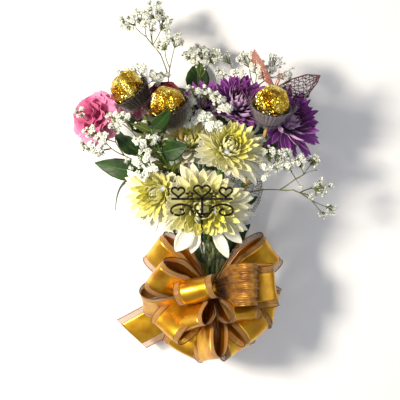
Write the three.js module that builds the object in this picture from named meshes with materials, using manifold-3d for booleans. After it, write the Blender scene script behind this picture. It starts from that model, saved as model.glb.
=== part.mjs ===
// A hand-tied birthday bouquet, lying on its back: chrysanthemums, carnations, a rose, baby's breath
// and leaves in a clear lace-print sleeve, with foil-wrapped chocolates on picks, a paper butterfly,
// an ornament pick, crystal pins and a gold pull bow at the waist.
// Millimetres. X runs to the right, Y from the cut stems to the flowers, Z up from the table.
// Everything is placed from the waist, the point where the sleeve is tied, at X = 0 and Y = 0.

import * as THREE from "three";
import { mergeVertices } from "three/addons/utils/BufferGeometryUtils.js";
import Module from "manifold-3d";

const wasm = await Module();
wasm.setup();

// Driving dimensions

const WAIST_HEIGHT = 30; // the bundle's centre line above the table, at the tie
const HANDLE_LENGTH = 62; // from the tie down to the cut ends
const HANDLE_SLOPE = 0.305; // how fast the handle drops to the table below the tie
const HEAD_SLOPE = 0.18; // how fast the centre line rises towards the flowers
const SLOT_PITCH = 4; // distance between stems where they are tied
const FLOWER_STEM_RADIUS = 1.8;
const CALYX = 5; // length of the green cup under a bloom
const SPRAY_STEM_RADIUS = 1.6;
const STICK_RADIUS = 1.5;
const BLADE = 0.8; // thickness of petals and leaves
const PETAL_KEEL = 1.3; // depth of the rib under a narrow petal
const CLEARANCE = 0.3; // gap left where two pieces press on each other
const CORE_SIDES = 7;
const CORE_BOTTOM = 0.92; // where the core is cut flat above the stem, as a share of its depth
const STEM_STEPS = 5;
const FAN = 0.011; // how fast the outer stems lean away from the centre line above the tie
const GOLDEN_ANGLE = Math.PI * (3 - Math.sqrt(5));

const SLEEVE_FILM = 0.8;
const SLEEVE_BOTTOM = -44; // Y of the sleeve's lower edge
const SLEEVE_FRONT = 44; // Y of its rim at the front
const SLEEVE_BACK = 122; // Y of its rim at the back
const SLEEVE_PROFILE = [
  // Y and radius of the outer face
  [-44, 17.2],
  [-5.5, 15.7],
  [5.5, 15.7],
  [16, 18.2],
  [30, 22.2],
  [49, 30],
  [80, 47],
  [93, 50],
  [125, 60],
];

const RIBBON_WIDTH = 38;
const RIBBON_THICKNESS = 0.7;
const KNOT = [2, 0, 60]; // centre of the bow
const KNOT_RADIUS = 9;
const KNOT_DEPTH = 13.4; // half of it, down to the band
const LOOP_STEPS = 6;

const BALL_RADIUS = 16.5;

const FOIL_SEED = 43; // seeds of the random numbers: the first ball, the first spray
const SPRAY_SEED = 100;

// Small helpers

const vec = (p) => new THREE.Vector3(p[0], p[1], p[2]);
const mix = (a, b, t) => a + (b - a) * t;
const radians = (degrees) => (degrees * Math.PI) / 180;

// A seeded random number from 0 to 1, the same on every run.
function seeded(seed) {
  let state = seed >>> 0;
  return () => {
    state = (state + 0x6d2b79f5) >>> 0;
    let t = state;
    t = Math.imul(t ^ (t >>> 15), t | 1);
    t ^= t + Math.imul(t ^ (t >>> 7), t | 61);
    return ((t ^ (t >>> 14)) >>> 0) / 4294967296;
  };
}

// Two directions square to an axis, and to each other.
function across(axis) {
  const helper = Math.abs(axis.y) < 0.9 ? new THREE.Vector3(0, 1, 0) : new THREE.Vector3(1, 0, 0);
  const e1 = new THREE.Vector3().crossVectors(helper, axis).normalize();
  const e2 = new THREE.Vector3().crossVectors(axis, e1).normalize();
  return [e1, e2];
}

// The direction at an angle round an axis, from the two directions square to it.
function around(e1, e2, angle) {
  return new THREE.Vector3().addScaledVector(e1, Math.cos(angle)).addScaledVector(e2, Math.sin(angle));
}

// A geometry with nothing but its corners.
function stripped(geometry) {
  const bare = geometry.index ? geometry.toNonIndexed() : geometry.clone();
  bare.deleteAttribute("normal");
  bare.deleteAttribute("uv");
  return bare;
}

function toSolid(geometry) {
  const merged = mergeVertices(stripped(geometry), 1e-4);
  return new wasm.Manifold(
    new wasm.Mesh({
      numProp: 3,
      vertProperties: merged.attributes.position.array,
      triVerts: new Uint32Array(merged.index.array),
    }),
  );
}

function toGeometry(solid) {
  const mesh = solid.getMesh();
  const geometry = new THREE.BufferGeometry();
  geometry.setAttribute("position", new THREE.BufferAttribute(new Float32Array(mesh.vertProperties), 3));
  geometry.setIndex(new THREE.BufferAttribute(new Uint32Array(mesh.triVerts), 1));
  return geometry;
}

// A closed solid from points and triangles, turned to face outwards.
function closedSolid(points, triangles) {
  let volume = 0;
  for (const [a, b, c] of triangles)
    volume += points[a].dot(new THREE.Vector3().crossVectors(points[b], points[c]));
  const order = volume < 0 ? ([a, b, c]) => [a, c, b] : (t) => t;
  const array = new Float32Array(points.flatMap((p) => [p.x, p.y, p.z]));
  return new wasm.Manifold(
    new wasm.Mesh({ numProp: 3, vertProperties: array, triVerts: new Uint32Array(triangles.flatMap(order)) }),
  );
}

// A solid skinned over a row of rings. A ring of one point closes to a tip.
function skin(rings) {
  const points = rings.flat();
  const starts = [];
  let count = 0;
  for (const ring of rings) {
    starts.push(count);
    count += ring.length;
  }
  const triangles = [];
  for (let r = 0; r + 1 < rings.length; r++) {
    const n = Math.max(rings[r].length, rings[r + 1].length);
    for (let k = 0; k < n; k++) {
      const next = (k + 1) % n;
      const pair = (at) => (rings[at].length === 1 ? [0, 0] : [k, next]).map((i) => starts[at] + i);
      const [a, b] = pair(r);
      const [c, d] = pair(r + 1);
      if (a !== b) triangles.push([a, b, d]);
      if (c !== d) triangles.push([a, d, c]);
    }
  }
  const first = rings[0].length;
  for (let k = 1; k + 1 < first; k++) triangles.push([0, k + 1, k]);
  const last = rings[rings.length - 1].length;
  const base = starts[rings.length - 1];
  for (let k = 1; k + 1 < last; k++) triangles.push([base, base + k, base + k + 1]);
  return closedSolid(points, triangles);
}

// A round or faceted bar along a row of points, with a radius at each.
function tube(path, radii, sides, grow = 0) {
  let side = null;
  const rings = path.map((point, i) => {
    const ahead = path[Math.min(i + 1, path.length - 1)];
    const behind = path[Math.max(i - 1, 0)];
    const along = new THREE.Vector3().subVectors(ahead, behind).normalize();
    side = side ? side.addScaledVector(along, -side.dot(along)).normalize() : across(along)[0];
    const other = new THREE.Vector3().crossVectors(along, side);
    const radius = (Array.isArray(radii) ? radii[i] : radii) + grow;
    return Array.from({ length: sides }, (_, k) => {
      const angle = (2 * Math.PI * k) / sides;
      return point
        .clone()
        .addScaledVector(side, radius * Math.cos(angle))
        .addScaledVector(other, radius * Math.sin(angle));
    });
  });
  return skin(rings);
}

// A thin plate over a grid of points, split into triangles alike on both faces.
function plate(grid, thickness) {
  const rows = grid.length;
  const columns = grid[0].length;
  const at = (i, j) => grid[Math.min(Math.max(i, 0), rows - 1)][Math.min(Math.max(j, 0), columns - 1)];
  const top = [];
  const bottom = [];
  for (let i = 0; i < rows; i++)
    for (let j = 0; j < columns; j++) {
      const along = new THREE.Vector3().subVectors(at(i + 1, j), at(i - 1, j));
      const over = new THREE.Vector3().subVectors(at(i, j + 1), at(i, j - 1));
      const normal = new THREE.Vector3().crossVectors(along, over).normalize();
      top.push(grid[i][j].clone().addScaledVector(normal, thickness / 2));
      bottom.push(grid[i][j].clone().addScaledVector(normal, -thickness / 2));
    }
  const half = rows * columns;
  const index = (i, j) => i * columns + j;
  const triangles = [];
  for (let i = 0; i + 1 < rows; i++)
    for (let j = 0; j + 1 < columns; j++) {
      const [a, b, c, d] = [index(i, j), index(i, j + 1), index(i + 1, j + 1), index(i + 1, j)];
      triangles.push([a, b, c], [a, c, d]);
      triangles.push([half + a, half + c, half + b], [half + a, half + d, half + c]);
    }
  const border = [];
  for (let j = 0; j < columns; j++) border.push(index(0, j));
  for (let i = 1; i < rows; i++) border.push(index(i, columns - 1));
  for (let j = columns - 2; j >= 0; j--) border.push(index(rows - 1, j));
  for (let i = rows - 2; i > 0; i--) border.push(index(i, 0));
  border.forEach((p, k) => {
    const q = border[(k + 1) % border.length];
    triangles.push([p, half + p, q], [q, half + p, half + q]);
  });
  return closedSolid([...top, ...bottom], triangles);
}

const join = (solids) => wasm.Manifold.union(solids);

// The body that the petals or loops of a head grow from.
function core(centre, axis, radius, depth) {
  const [e1, e2] = across(axis);
  const levels = [-CORE_BOTTOM, -0.2, 0.8];
  const rings = levels.map((level) => {
    const ringRadius = radius * Math.sqrt(1 - level * level);
    return Array.from({ length: CORE_SIDES }, (_, k) => {
      const angle = (2 * Math.PI * k) / CORE_SIDES;
      return centre
        .clone()
        .addScaledVector(axis, level * depth)
        .addScaledVector(e1, ringRadius * Math.cos(angle))
        .addScaledVector(e2, ringRadius * Math.sin(angle));
    });
  });
  return skin(rings);
}

// Stems. Each has its own place in the tied bundle, counted outwards along a honeycomb.

function slotOffset(slot) {
  if (slot === 0) return [0, 0];
  let ring = 1;
  while (3 * ring * (ring + 1) < slot) ring++;
  const step = slot - 3 * ring * (ring - 1) - 1;
  const side = Math.floor(step / ring);
  const along = (step % ring) / ring;
  const corner = (k) => [ring * Math.cos((Math.PI * k) / 3), ring * Math.sin((Math.PI * k) / 3)];
  const [a, b] = [corner(side), corner(side + 1)];
  return [SLOT_PITCH * mix(a[0], b[0], along), SLOT_PITCH * mix(a[1], b[1], along)];
}

const headDirection = new THREE.Vector3(0, 1, HEAD_SLOPE).normalize();
const handleDirection = new THREE.Vector3(0, 1, HANDLE_SLOPE).normalize();

const waistPoint = (slot) => {
  const [x, z] = slotOffset(slot);
  return new THREE.Vector3(x, 0, WAIST_HEIGHT + z);
};

// From the cut end, through the tie, to a root, reached in the direction `arrive`.
function stalkPath(slot, root, arrive, pull = 34) {
  const waist = waistPoint(slot);
  const cut = waist.clone().addScaledVector(handleDirection, -(HANDLE_LENGTH - 3 + ((slot * 7) % 5)));
  const outwards = new THREE.Vector3(waist.x, 0, waist.z - WAIST_HEIGHT);
  const fan = headDirection.clone().addScaledVector(outwards, FAN);
  const rise = root.distanceTo(waist) * 0.42;
  const curve = new THREE.CubicBezierCurve3(
    waist,
    waist.clone().addScaledVector(fan.normalize(), rise),
    root.clone().addScaledVector(arrive, -pull),
    root,
  );
  return [cut, ...curve.getPoints(STEM_STEPS)];
}

// Where everything stands: the centre of each head, the way it faces, and its stem's slot

const BLOOMS = {
  cream_front: { at: [-6.5, 77.5, 104], faces: [0.02, -0.22, 0.97], reach: 42, slot: 24 },
  cream_left: { at: [-44.5, 90, 88], faces: [-0.42, -0.12, 0.9], reach: 33, slot: 2 },
  cream_right: { at: [15, 126.5, 98], faces: [0.22, 0.38, 0.9], reach: 34, slot: 23 },
  cream_back: { at: [-19, 132.5, 84], faces: [-0.15, 0.5, 0.85], reach: 27, slot: 7 },
  purple_middle: { at: [-5.5, 167, 70], faces: [-0.05, 0.55, 0.83], reach: 27, slot: 16 },
  purple_upper: { at: [24.5, 166.5, 80], faces: [0.2, 0.5, 0.84], reach: 33, slot: 17 },
  purple_right: { at: [68.5, 153, 68], faces: [0.55, 0.25, 0.8], reach: 34, slot: 19 },
  carnation_left: { at: [-101, 156.5, 76], faces: [-0.5, 0.25, 0.83], reach: 27, slot: 28 },
  carnation_back: { at: [-70, 174, 44], faces: [-0.25, 0.5, 0.83], reach: 22, slot: 30 },
  red_rose: { at: [-41.5, 171.5, 64], faces: [-0.1, 0.55, 0.83], reach: 21, slot: 12 },
};

const CHOCOLATES = {
  left: { at: [-73.6, 183, 92], faces: [-0.6, 0.68, 0.43], slot: 26 },
  middle: { at: [-37.6, 166, 118], faces: [-0.36, 0.76, 0.55], slot: 11 },
  right: { at: [53.5, 168, 112], faces: [0.13, 0.78, 0.6], slot: 9 },
};

// How deep a bloom's core is, as a share of its reach.
const CORE_DEPTH = { cream: 0.22, purple: 0.22, carnation: 0.4, red: 0.5 };

for (const [name, bloom] of Object.entries(BLOOMS)) {
  bloom.centre = vec(bloom.at);
  bloom.axis = vec(bloom.faces).normalize();
  bloom.depth = bloom.reach * CORE_DEPTH[name.split("_")[0]];
  bloom.root = bloom.centre.clone().addScaledVector(bloom.axis, -bloom.depth * CORE_BOTTOM - CLEARANCE);
}

// Planes that part each bloom from its neighbours, placed by their sizes.
function cellOf(name) {
  const own = BLOOMS[name];
  const planes = [];
  for (const [other, bloom] of Object.entries(BLOOMS)) {
    const gap = own.centre.distanceTo(bloom.centre);
    if (other === name || gap > own.reach + bloom.reach) continue;
    const towards = new THREE.Vector3().subVectors(bloom.centre, own.centre).normalize();
    const share = own.reach / (own.reach + bloom.reach);
    const middle = own.centre.clone().addScaledVector(towards, gap * share);
    planes.push({ towards, limit: towards.dot(middle) - CLEARANCE });
  }
  return planes;
}

const inCell = (points, planes) => points.every((p) => planes.every((q) => q.towards.dot(p) < q.limit));

// Tells whether the line from p to q passes through the triangle a, b, c.
function pierces(p, q, a, b, c) {
  const ray = new THREE.Ray(p, new THREE.Vector3().subVectors(q, p).normalize());
  const hit = ray.intersectTriangle(a, b, c, false, new THREE.Vector3());
  return hit !== null && hit.distanceTo(p) < q.distanceTo(p);
}

// A mesh grown face by face: small hubs whose triangles are drawn out into twigs, stalks and florets.
class Growth {
  constructor(grow) {
    this.grow = grow;
    this.points = [];
    this.faces = [];
  }
  // A small octahedron. Its faces are free to grow from.
  hub(centre, radius) {
    const r = radius + this.grow;
    const start = this.points.length;
    for (const [x, y, z] of [[r, 0, 0], [-r, 0, 0], [0, r, 0], [0, -r, 0], [0, 0, r], [0, 0, -r]])
      this.points.push(centre.clone().add(new THREE.Vector3(x, y, z)));
    const open = [[0, 2, 4], [2, 1, 4], [1, 3, 4], [3, 0, 4], [2, 0, 5], [1, 2, 5], [3, 1, 5], [0, 3, 5]];
    const hub = { centre, open: open.map((face) => face.map((k) => start + k)) };
    return hub;
  }
  middle(face) {
    const sum = new THREE.Vector3();
    for (const k of face) sum.addScaledVector(this.points[k], 1 / face.length);
    return sum;
  }
  // How nearly a hub's face looks towards a point, up to 1.
  facing(hub, face, target) {
    const towards = new THREE.Vector3().subVectors(target, hub.centre).normalize();
    return this.middle(face).sub(hub.centre).normalize().dot(towards);
  }
  // Takes the free face that looks most nearly towards a point.
  take(hub, target) {
    hub.open.sort((f, g) => this.facing(hub, g, target) - this.facing(hub, f, target));
    return hub.open.shift();
  }
  // Joins two hubs by a twig, from free faces that let it pass without cutting through anything.
  link(from, to) {
    const lean = ([f, g]) => this.facing(from, f, to.centre) + this.facing(to, g, from.centre);
    const pairs = from.open.flatMap((f) => to.open.map((g) => [f, g]));
    pairs.sort((p, q) => lean(q) - lean(p));
    const draws = pairs.slice(0, LINK_TRIES).flatMap(([f, g]) => {
      const turns = [0, 1, 2].map((k) => [g[k], g[(k + 2) % 3], g[(k + 1) % 3]]);
      const span = (t) => f.reduce((sum, p, k) => sum + this.points[p].distanceTo(this.points[t[k]]), 0);
      return turns
        .sort((a, b) => span(a) - span(b))
        .map((turn) => () => {
          from.open = from.open.filter((face) => face !== f);
          to.open = to.open.filter((face) => face !== g);
          this.sides(f, turn);
        });
    });
    if (this.firstFit([from, to], draws) < 0) draws[0]();
  }
  sides(from, to) {
    for (let k = 0; k < 3; k++) {
      const next = (k + 1) % 3;
      this.faces.push([from[k], from[next], to[next]], [from[k], to[next], to[k]]);
    }
  }
  // Turns a ring of points so that it starts nearest to a face's first corner, and adds it.
  add(face, ring) {
    const start = this.points.length;
    this.points.push(...ring);
    const indices = ring.map((_, k) => start + k);
    const turns = ring.map((_, k) => [...indices.slice(k), ...indices.slice(0, k)]);
    const share = ring.length / 3;
    const reach = (t, k) => this.points[face[k]].distanceTo(this.points[t[Math.floor(k * share)]]);
    const span = (t) => reach(t, 0) + reach(t, 1) + reach(t, 2);
    return turns.reduce((a, b) => (span(b) < span(a) ? b : a));
  }
  // Joins a triangle to a ring of more points.
  stitch(face, ring) {
    const [m, n] = [3, ring.length];
    let [i, j] = [0, 0];
    while (i < m || j < n)
      if (i < m && (i + 0.5) / m <= (j + 0.5) / n) {
        this.faces.push([face[i % m], face[(i + 1) % m], ring[j % n]]);
        i++;
      } else {
        this.faces.push([face[i % m], ring[(j + 1) % n], ring[j % n]]);
        j++;
      }
  }
  // Tells whether two faces cut through each other. Faces that only share a corner or an edge don't.
  cuts(f, g) {
    const [p, q] = [f, g].map((face) => face.map((k) => this.points[k]));
    const apart = ["x", "y", "z"].some(
      (e) => Math.max(...p.map((v) => v[e])) < Math.min(...q.map((v) => v[e])) ||
        Math.min(...p.map((v) => v[e])) > Math.max(...q.map((v) => v[e])),
    );
    if (apart) return false;
    const through = (from, to, corners) =>
      [0, 1, 2].some((k) => {
        const [a, b] = [from[k], from[(k + 1) % 3]];
        return !to.includes(a) && !to.includes(b) && pierces(this.points[a], this.points[b], ...corners);
      });
    return through(f, g, q) || through(g, f, p);
  }
  // Draws the first of several shapes that cuts through nothing, and says which it was, or -1 for none.
  firstFit(hubs, draws) {
    return draws.findIndex((draw) => {
      const before = [this.points.length, this.faces.length];
      const open = hubs.map((hub) => [...hub.open]);
      draw();
      const all = [...this.faces, ...hubs.flatMap((hub) => hub.open)];
      const fits = !this.faces.slice(before[1]).some((f) => all.some((g) => this.cuts(f, g)));
      if (!fits) {
        [this.points.length, this.faces.length] = before;
        hubs.forEach((hub, k) => (hub.open = open[k]));
      }
      return fits;
    });
  }
  // Draws a free face of a hub out over a row of rings of three points, ending in a tip.
  petal(hub, rings) {
    let face = this.take(hub, rings[0][0].clone().lerp(rings[0][1], 0.5));
    for (const points of rings.slice(0, -1)) {
      const ring = this.add(face, points);
      this.sides(face, ring);
      face = ring;
    }
    this.points.push(rings[rings.length - 1][0]);
    const tip = this.points.length - 1;
    for (let k = 0; k < 3; k++) this.faces.push([face[k], face[(k + 1) % 3], tip]);
  }
  // Draws a free face of a hub out into a fan with a flat, toothed end between two edges.
  fan(hub, front, back) {
    const face = this.take(hub, front[Math.floor(front.length / 2)]);
    const ring = this.add(face, [...back, ...front.toReversed()]);
    this.stitch(face, ring);
    const first = Math.min(...ring);
    const n = front.length;
    for (let k = 0; k + 1 < n; k++) {
      const [a, b, c, d] = [first + k, first + k + 1, first + 2 * n - 2 - k, first + 2 * n - 1 - k];
      this.faces.push([a, b, c], [a, c, d]);
    }
  }
  // A squashed ball of eighty faces, cut flat below, that petals can grow from.
  core(centre, axis, radius, depth) {
    const [e1, e2] = across(axis);
    const ball = mergeVertices(stripped(new THREE.IcosahedronGeometry(1, 1)), 1e-4);
    const start = this.points.length;
    const position = ball.getAttribute("position");
    for (let i = 0; i < position.count; i++) {
      const [x, y, z] = [position.getX(i), position.getY(i), Math.max(position.getZ(i), -CORE_BOTTOM)];
      this.points.push(
        centre
          .clone()
          .addScaledVector(e1, x * (radius + this.grow))
          .addScaledVector(e2, y * (radius + this.grow))
          .addScaledVector(axis, z * (depth + this.grow)),
      );
    }
    const index = ball.index.array;
    const open = [];
    for (let i = 0; i < index.length; i += 3) open.push([0, 1, 2].map((k) => start + index[i + k]));
    return { centre, open };
  }
  // Draws a triangle out to a ring of a given radius round a point, square to a direction.
  ring(face, centre, along, radius) {
    const corner = this.points[face[0]].clone().sub(this.middle(face));
    const e1 = corner.addScaledVector(along, -corner.dot(along)).normalize();
    const e2 = new THREE.Vector3().crossVectors(along, e1);
    const ring = [0, 1, 2].map((k) => {
      const angle = (2 * Math.PI * k) / 3;
      this.points.push(
        centre
          .clone()
          .addScaledVector(e1, (radius + this.grow) * Math.cos(angle))
          .addScaledVector(e2, (radius + this.grow) * Math.sin(angle)),
      );
      return this.points.length - 1;
    });
    this.sides(face, ring);
    return ring;
  }
  // A floret: a thin stalk that opens into a small funnel with a domed mouth.
  floret(hub, to, size) {
    const face = this.take(hub, to);
    const along = new THREE.Vector3().subVectors(to, hub.centre).normalize();
    const neck = this.ring(face, to.clone().addScaledVector(along, -size), along, TWIG);
    const crown = this.ring(neck, to.clone().addScaledVector(along, 0.2 * size), along, size);
    this.points.push(to.clone().addScaledVector(along, 0.7 * size + this.grow));
    const tip = this.points.length - 1;
    for (let k = 0; k < 3; k++) this.faces.push([crown[k], crown[(k + 1) % 3], tip]);
  }
  close(hub) {
    this.faces.push(...hub.open);
  }
  solid() {
    return closedSolid(this.points, this.faces);
  }
}

// A petal: a keeled blade along a curling line. Returns the rings that it is skinned over.
function petalRings(base, heading, inner, length, halfWidth, curl, grow) {
  const side = new THREE.Vector3().crossVectors(heading, inner).normalize();
  const stations = [0.4, 0.8, 1];
  const widths = [0.85, 0.95, 0];
  let point = base.clone();
  let before = 0;
  return stations.map((t, i) => {
    const angle = curl * t;
    const step = (t - before) * (length + grow);
    const middle = curl * (t + before) * 0.5;
    point = point
      .clone()
      .addScaledVector(heading, Math.cos(middle) * step)
      .addScaledVector(inner, Math.sin(middle) * step);
    before = t;
    if (i === stations.length - 1) return [point];
    const up = new THREE.Vector3()
      .addScaledVector(inner, Math.cos(angle))
      .addScaledVector(heading, -Math.sin(angle));
    const width = halfWidth * widths[i] + 1.5 * grow;
    return [
      point.clone().addScaledVector(side, -width).addScaledVector(up, grow),
      point.clone().addScaledVector(side, width).addScaledVector(up, grow),
      point.clone().addScaledVector(up, -PETAL_KEEL - grow),
    ];
  });
}

// How each petal or floret was bent, moved or shrunk to fit, found once, when its piece is first made.
const fitted = {};

// A chrysanthemum: petals in a spiral, upright in the middle and spread out and back at the edge.
function chrysanthemum(name, count, seed, look, grow) {
  fitted[name] ??= [];
  const { centre, axis, reach, depth } = BLOOMS[name];
  const [e1, e2] = across(axis);
  const planes = cellOf(name);
  const random = seeded(seed);
  const heart = reach * 0.3;
  const growth = new Growth(grow);
  const hub = growth.core(centre, axis, heart, depth);
  for (let k = 0; k < count; k++) {
    const rank = (k + 0.5) / count;
    const turn = k * GOLDEN_ANGLE + (random() - 0.5) * 0.25;
    const polar = radians(mix(look.innerAngle, look.outerAngle, Math.pow(rank, 0.75)) + (random() - 0.5) * 8);
    const outward = around(e1, e2, turn);
    const heading = new THREE.Vector3()
      .addScaledVector(outward, Math.sin(polar))
      .addScaledVector(axis, Math.cos(polar));
    const inner = new THREE.Vector3()
      .addScaledVector(outward, -Math.cos(polar))
      .addScaledVector(axis, Math.sin(polar));
    const base = centre.clone().addScaledVector(heading, heart);
    const growing = mix(look.innerLength, look.outerLength, Math.pow(rank, 0.8));
    const length = reach * growing * (0.93 + 0.14 * random());
    const halfWidth = reach * mix(look.innerWidth, look.outerWidth, rank);
    const curl = radians(mix(look.innerCurl, look.outerCurl, rank) + (random() - 0.5) * 14);
    const rings = ([share, lift], swell) =>
      petalRings(base, heading, inner, length * share, halfWidth, curl + radians(lift), swell);
    if (grow) {
      if (fitted[name][k]) growth.petal(hub, rings(fitted[name][k], grow));
    } else
      fitted[name][k] = PETAL_FITS.find(
        (fit) =>
          inCell(rings(fit, CLEARANCE).flat(), planes) &&
          growth.firstFit([hub], [() => growth.petal(hub, rings(fit, 0))]) === 0,
      );
  }
  growth.close(hub);
  return growth.solid();
}

// Shares of a petal's length, and degrees that it is lifted by, tried in turn until it fits.
const PETAL_FITS = [
  [1, 0],
  [0.95, 14],
  [0.86, -12],
  [0.86, 0],
  [0.9, 25],
  [0.75, 40],
  [0.6, 30],
  [0.5, 60],
];

const CREAM_LOOK = {
  innerAngle: 14,
  outerAngle: 104,
  innerLength: 0.34,
  outerLength: 0.9,
  innerWidth: 0.06,
  outerWidth: 0.125,
  innerCurl: 42,
  outerCurl: 4,
};
const PURPLE_LOOK = { ...CREAM_LOOK, outerAngle: 98, outerWidth: 0.11, innerCurl: 30, outerCurl: 14 };
const CREAM_PETALS = {
  cream_front: { petals: 47, seed: 71 },
  cream_left: { petals: 34, seed: 8 },
  cream_right: { petals: 40, seed: 9 },
  cream_back: { petals: 26, seed: 10 },
};
const PURPLE_PETALS = {
  purple_middle: { petals: 23, seed: 57 },
  purple_upper: { petals: 33, seed: 18 },
  purple_right: { petals: 34, seed: 19 },
};

// A carnation: fans of crumpled petals with saw-toothed edges, packed into a dome.
function carnation(name, count, seed, grow) {
  const { centre, axis, reach, depth } = BLOOMS[name];
  const [e1, e2] = across(axis);
  const planes = cellOf(name);
  const random = seeded(seed);
  const growth = new Growth(grow);
  const hub = growth.core(centre, axis, reach * 0.42, depth);
  for (let k = 0; k < count; k++) {
    const rank = (k + 0.5) / count;
    const turn = k * GOLDEN_ANGLE;
    const polar = radians(mix(8, 88, Math.pow(rank, 0.62)));
    const outward = around(e1, e2, turn);
    const heading = new THREE.Vector3()
      .addScaledVector(outward, Math.sin(polar))
      .addScaledVector(axis, Math.cos(polar));
    const twist = (random() - 0.5) * 0.6;
    const round = new THREE.Vector3().crossVectors(axis, outward).normalize();
    const inward = new THREE.Vector3().crossVectors(heading, round);
    const side = round.clone().multiplyScalar(Math.cos(twist)).addScaledVector(inward, Math.sin(twist));
    const face = new THREE.Vector3().crossVectors(heading, side);
    const length = reach * mix(0.78, 0.9, rank) * (0.92 + 0.16 * random());
    const spread = reach * mix(0.2, 0.3, rank) + grow;
    const ruffles = Array.from({ length: 5 }, (_, j) => (j % 2 ? 0.07 : -0.07) * reach * (0.5 + random()));
    const edge = [-1, -0.5, 0, 0.5, 1].map((u, j) =>
      centre
        .clone()
        .addScaledVector(heading, length + (j % 2 ? 0.06 : -0.04) * reach - 0.12 * reach * u * u + grow)
        .addScaledVector(side, spread * u)
        .addScaledVector(face, ruffles[j]),
    );
    if (!inCell(edge, planes)) continue;
    const shifted = (by) => edge.map((p) => p.clone().addScaledVector(face, by));
    growth.fan(hub, shifted(BLADE / 2 + grow), shifted(-BLADE / 2 - grow));
  }
  growth.close(hub);
  return growth.solid();
}

// A rose: cupped petals in rings round a closed bud.
function rose(name, seed, grow) {
  const { centre, axis, reach, depth } = BLOOMS[name];
  const [e1, e2] = across(axis);
  const planes = cellOf(name);
  const random = seeded(seed);
  const solids = [core(centre, axis, reach * 0.36 + grow, depth + grow)];
  const rings = [
    { petals: 2, polar: 20, length: 0.78, spread: 0.36 },
    { petals: 3, polar: 38, length: 0.88, spread: 0.44 },
    { petals: 5, polar: 62, length: 0.96, spread: 0.42 },
  ];
  rings.forEach((ring, level) => {
    for (let k = 0; k < ring.petals; k++) {
      const turn = ((k + level * 0.4) / ring.petals) * 2 * Math.PI + (random() - 0.5) * 0.2;
      const grid = [0.3, 0.75, 1].map((t, row) =>
        [-1, -0.34, 0.34, 1].map((u) => {
          const angle = turn + (u * ring.spread * Math.PI * 0.5 * [0.5, 1, 0.8][row]) / (0.6 + level * 0.2);
          const polar = radians(ring.polar * [0.9, 1.05, 1.3][row]);
          const length = reach * ring.length * t * (1 - 0.08 * u * u) + grow * t;
          return centre
            .clone()
            .addScaledVector(axis, length * Math.cos(polar))
            .addScaledVector(e1, (length * Math.sin(polar) + 1) * Math.cos(angle))
            .addScaledVector(e2, (length * Math.sin(polar) + 1) * Math.sin(angle));
        }),
      );
      if (inCell(grid.flat(), planes)) solids.push(plate(grid, BLADE + 2 * grow));
    }
  });
  return join(solids);
}

// The green stem and calyx under a bloom.
function bloomStem(name, grow) {
  const { root, axis, reach, slot } = BLOOMS[name];
  const neck = root.clone().addScaledVector(axis, -CALYX);
  const stem = tube(stalkPath(slot, neck, axis), FLOWER_STEM_RADIUS, 5, grow);
  const under = neck.clone().addScaledVector(axis, -2);
  const calyx = tube([under, root], [FLOWER_STEM_RADIUS + 0.2, reach * 0.16], 5, grow);
  return join([stem, calyx]);
}

// Baby's breath. `joints` are forks, each with the joint it grows from. `heads` are clusters of florets:
// the joint they grow from, their centre, the cluster's radius, how many florets and their size.

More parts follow.
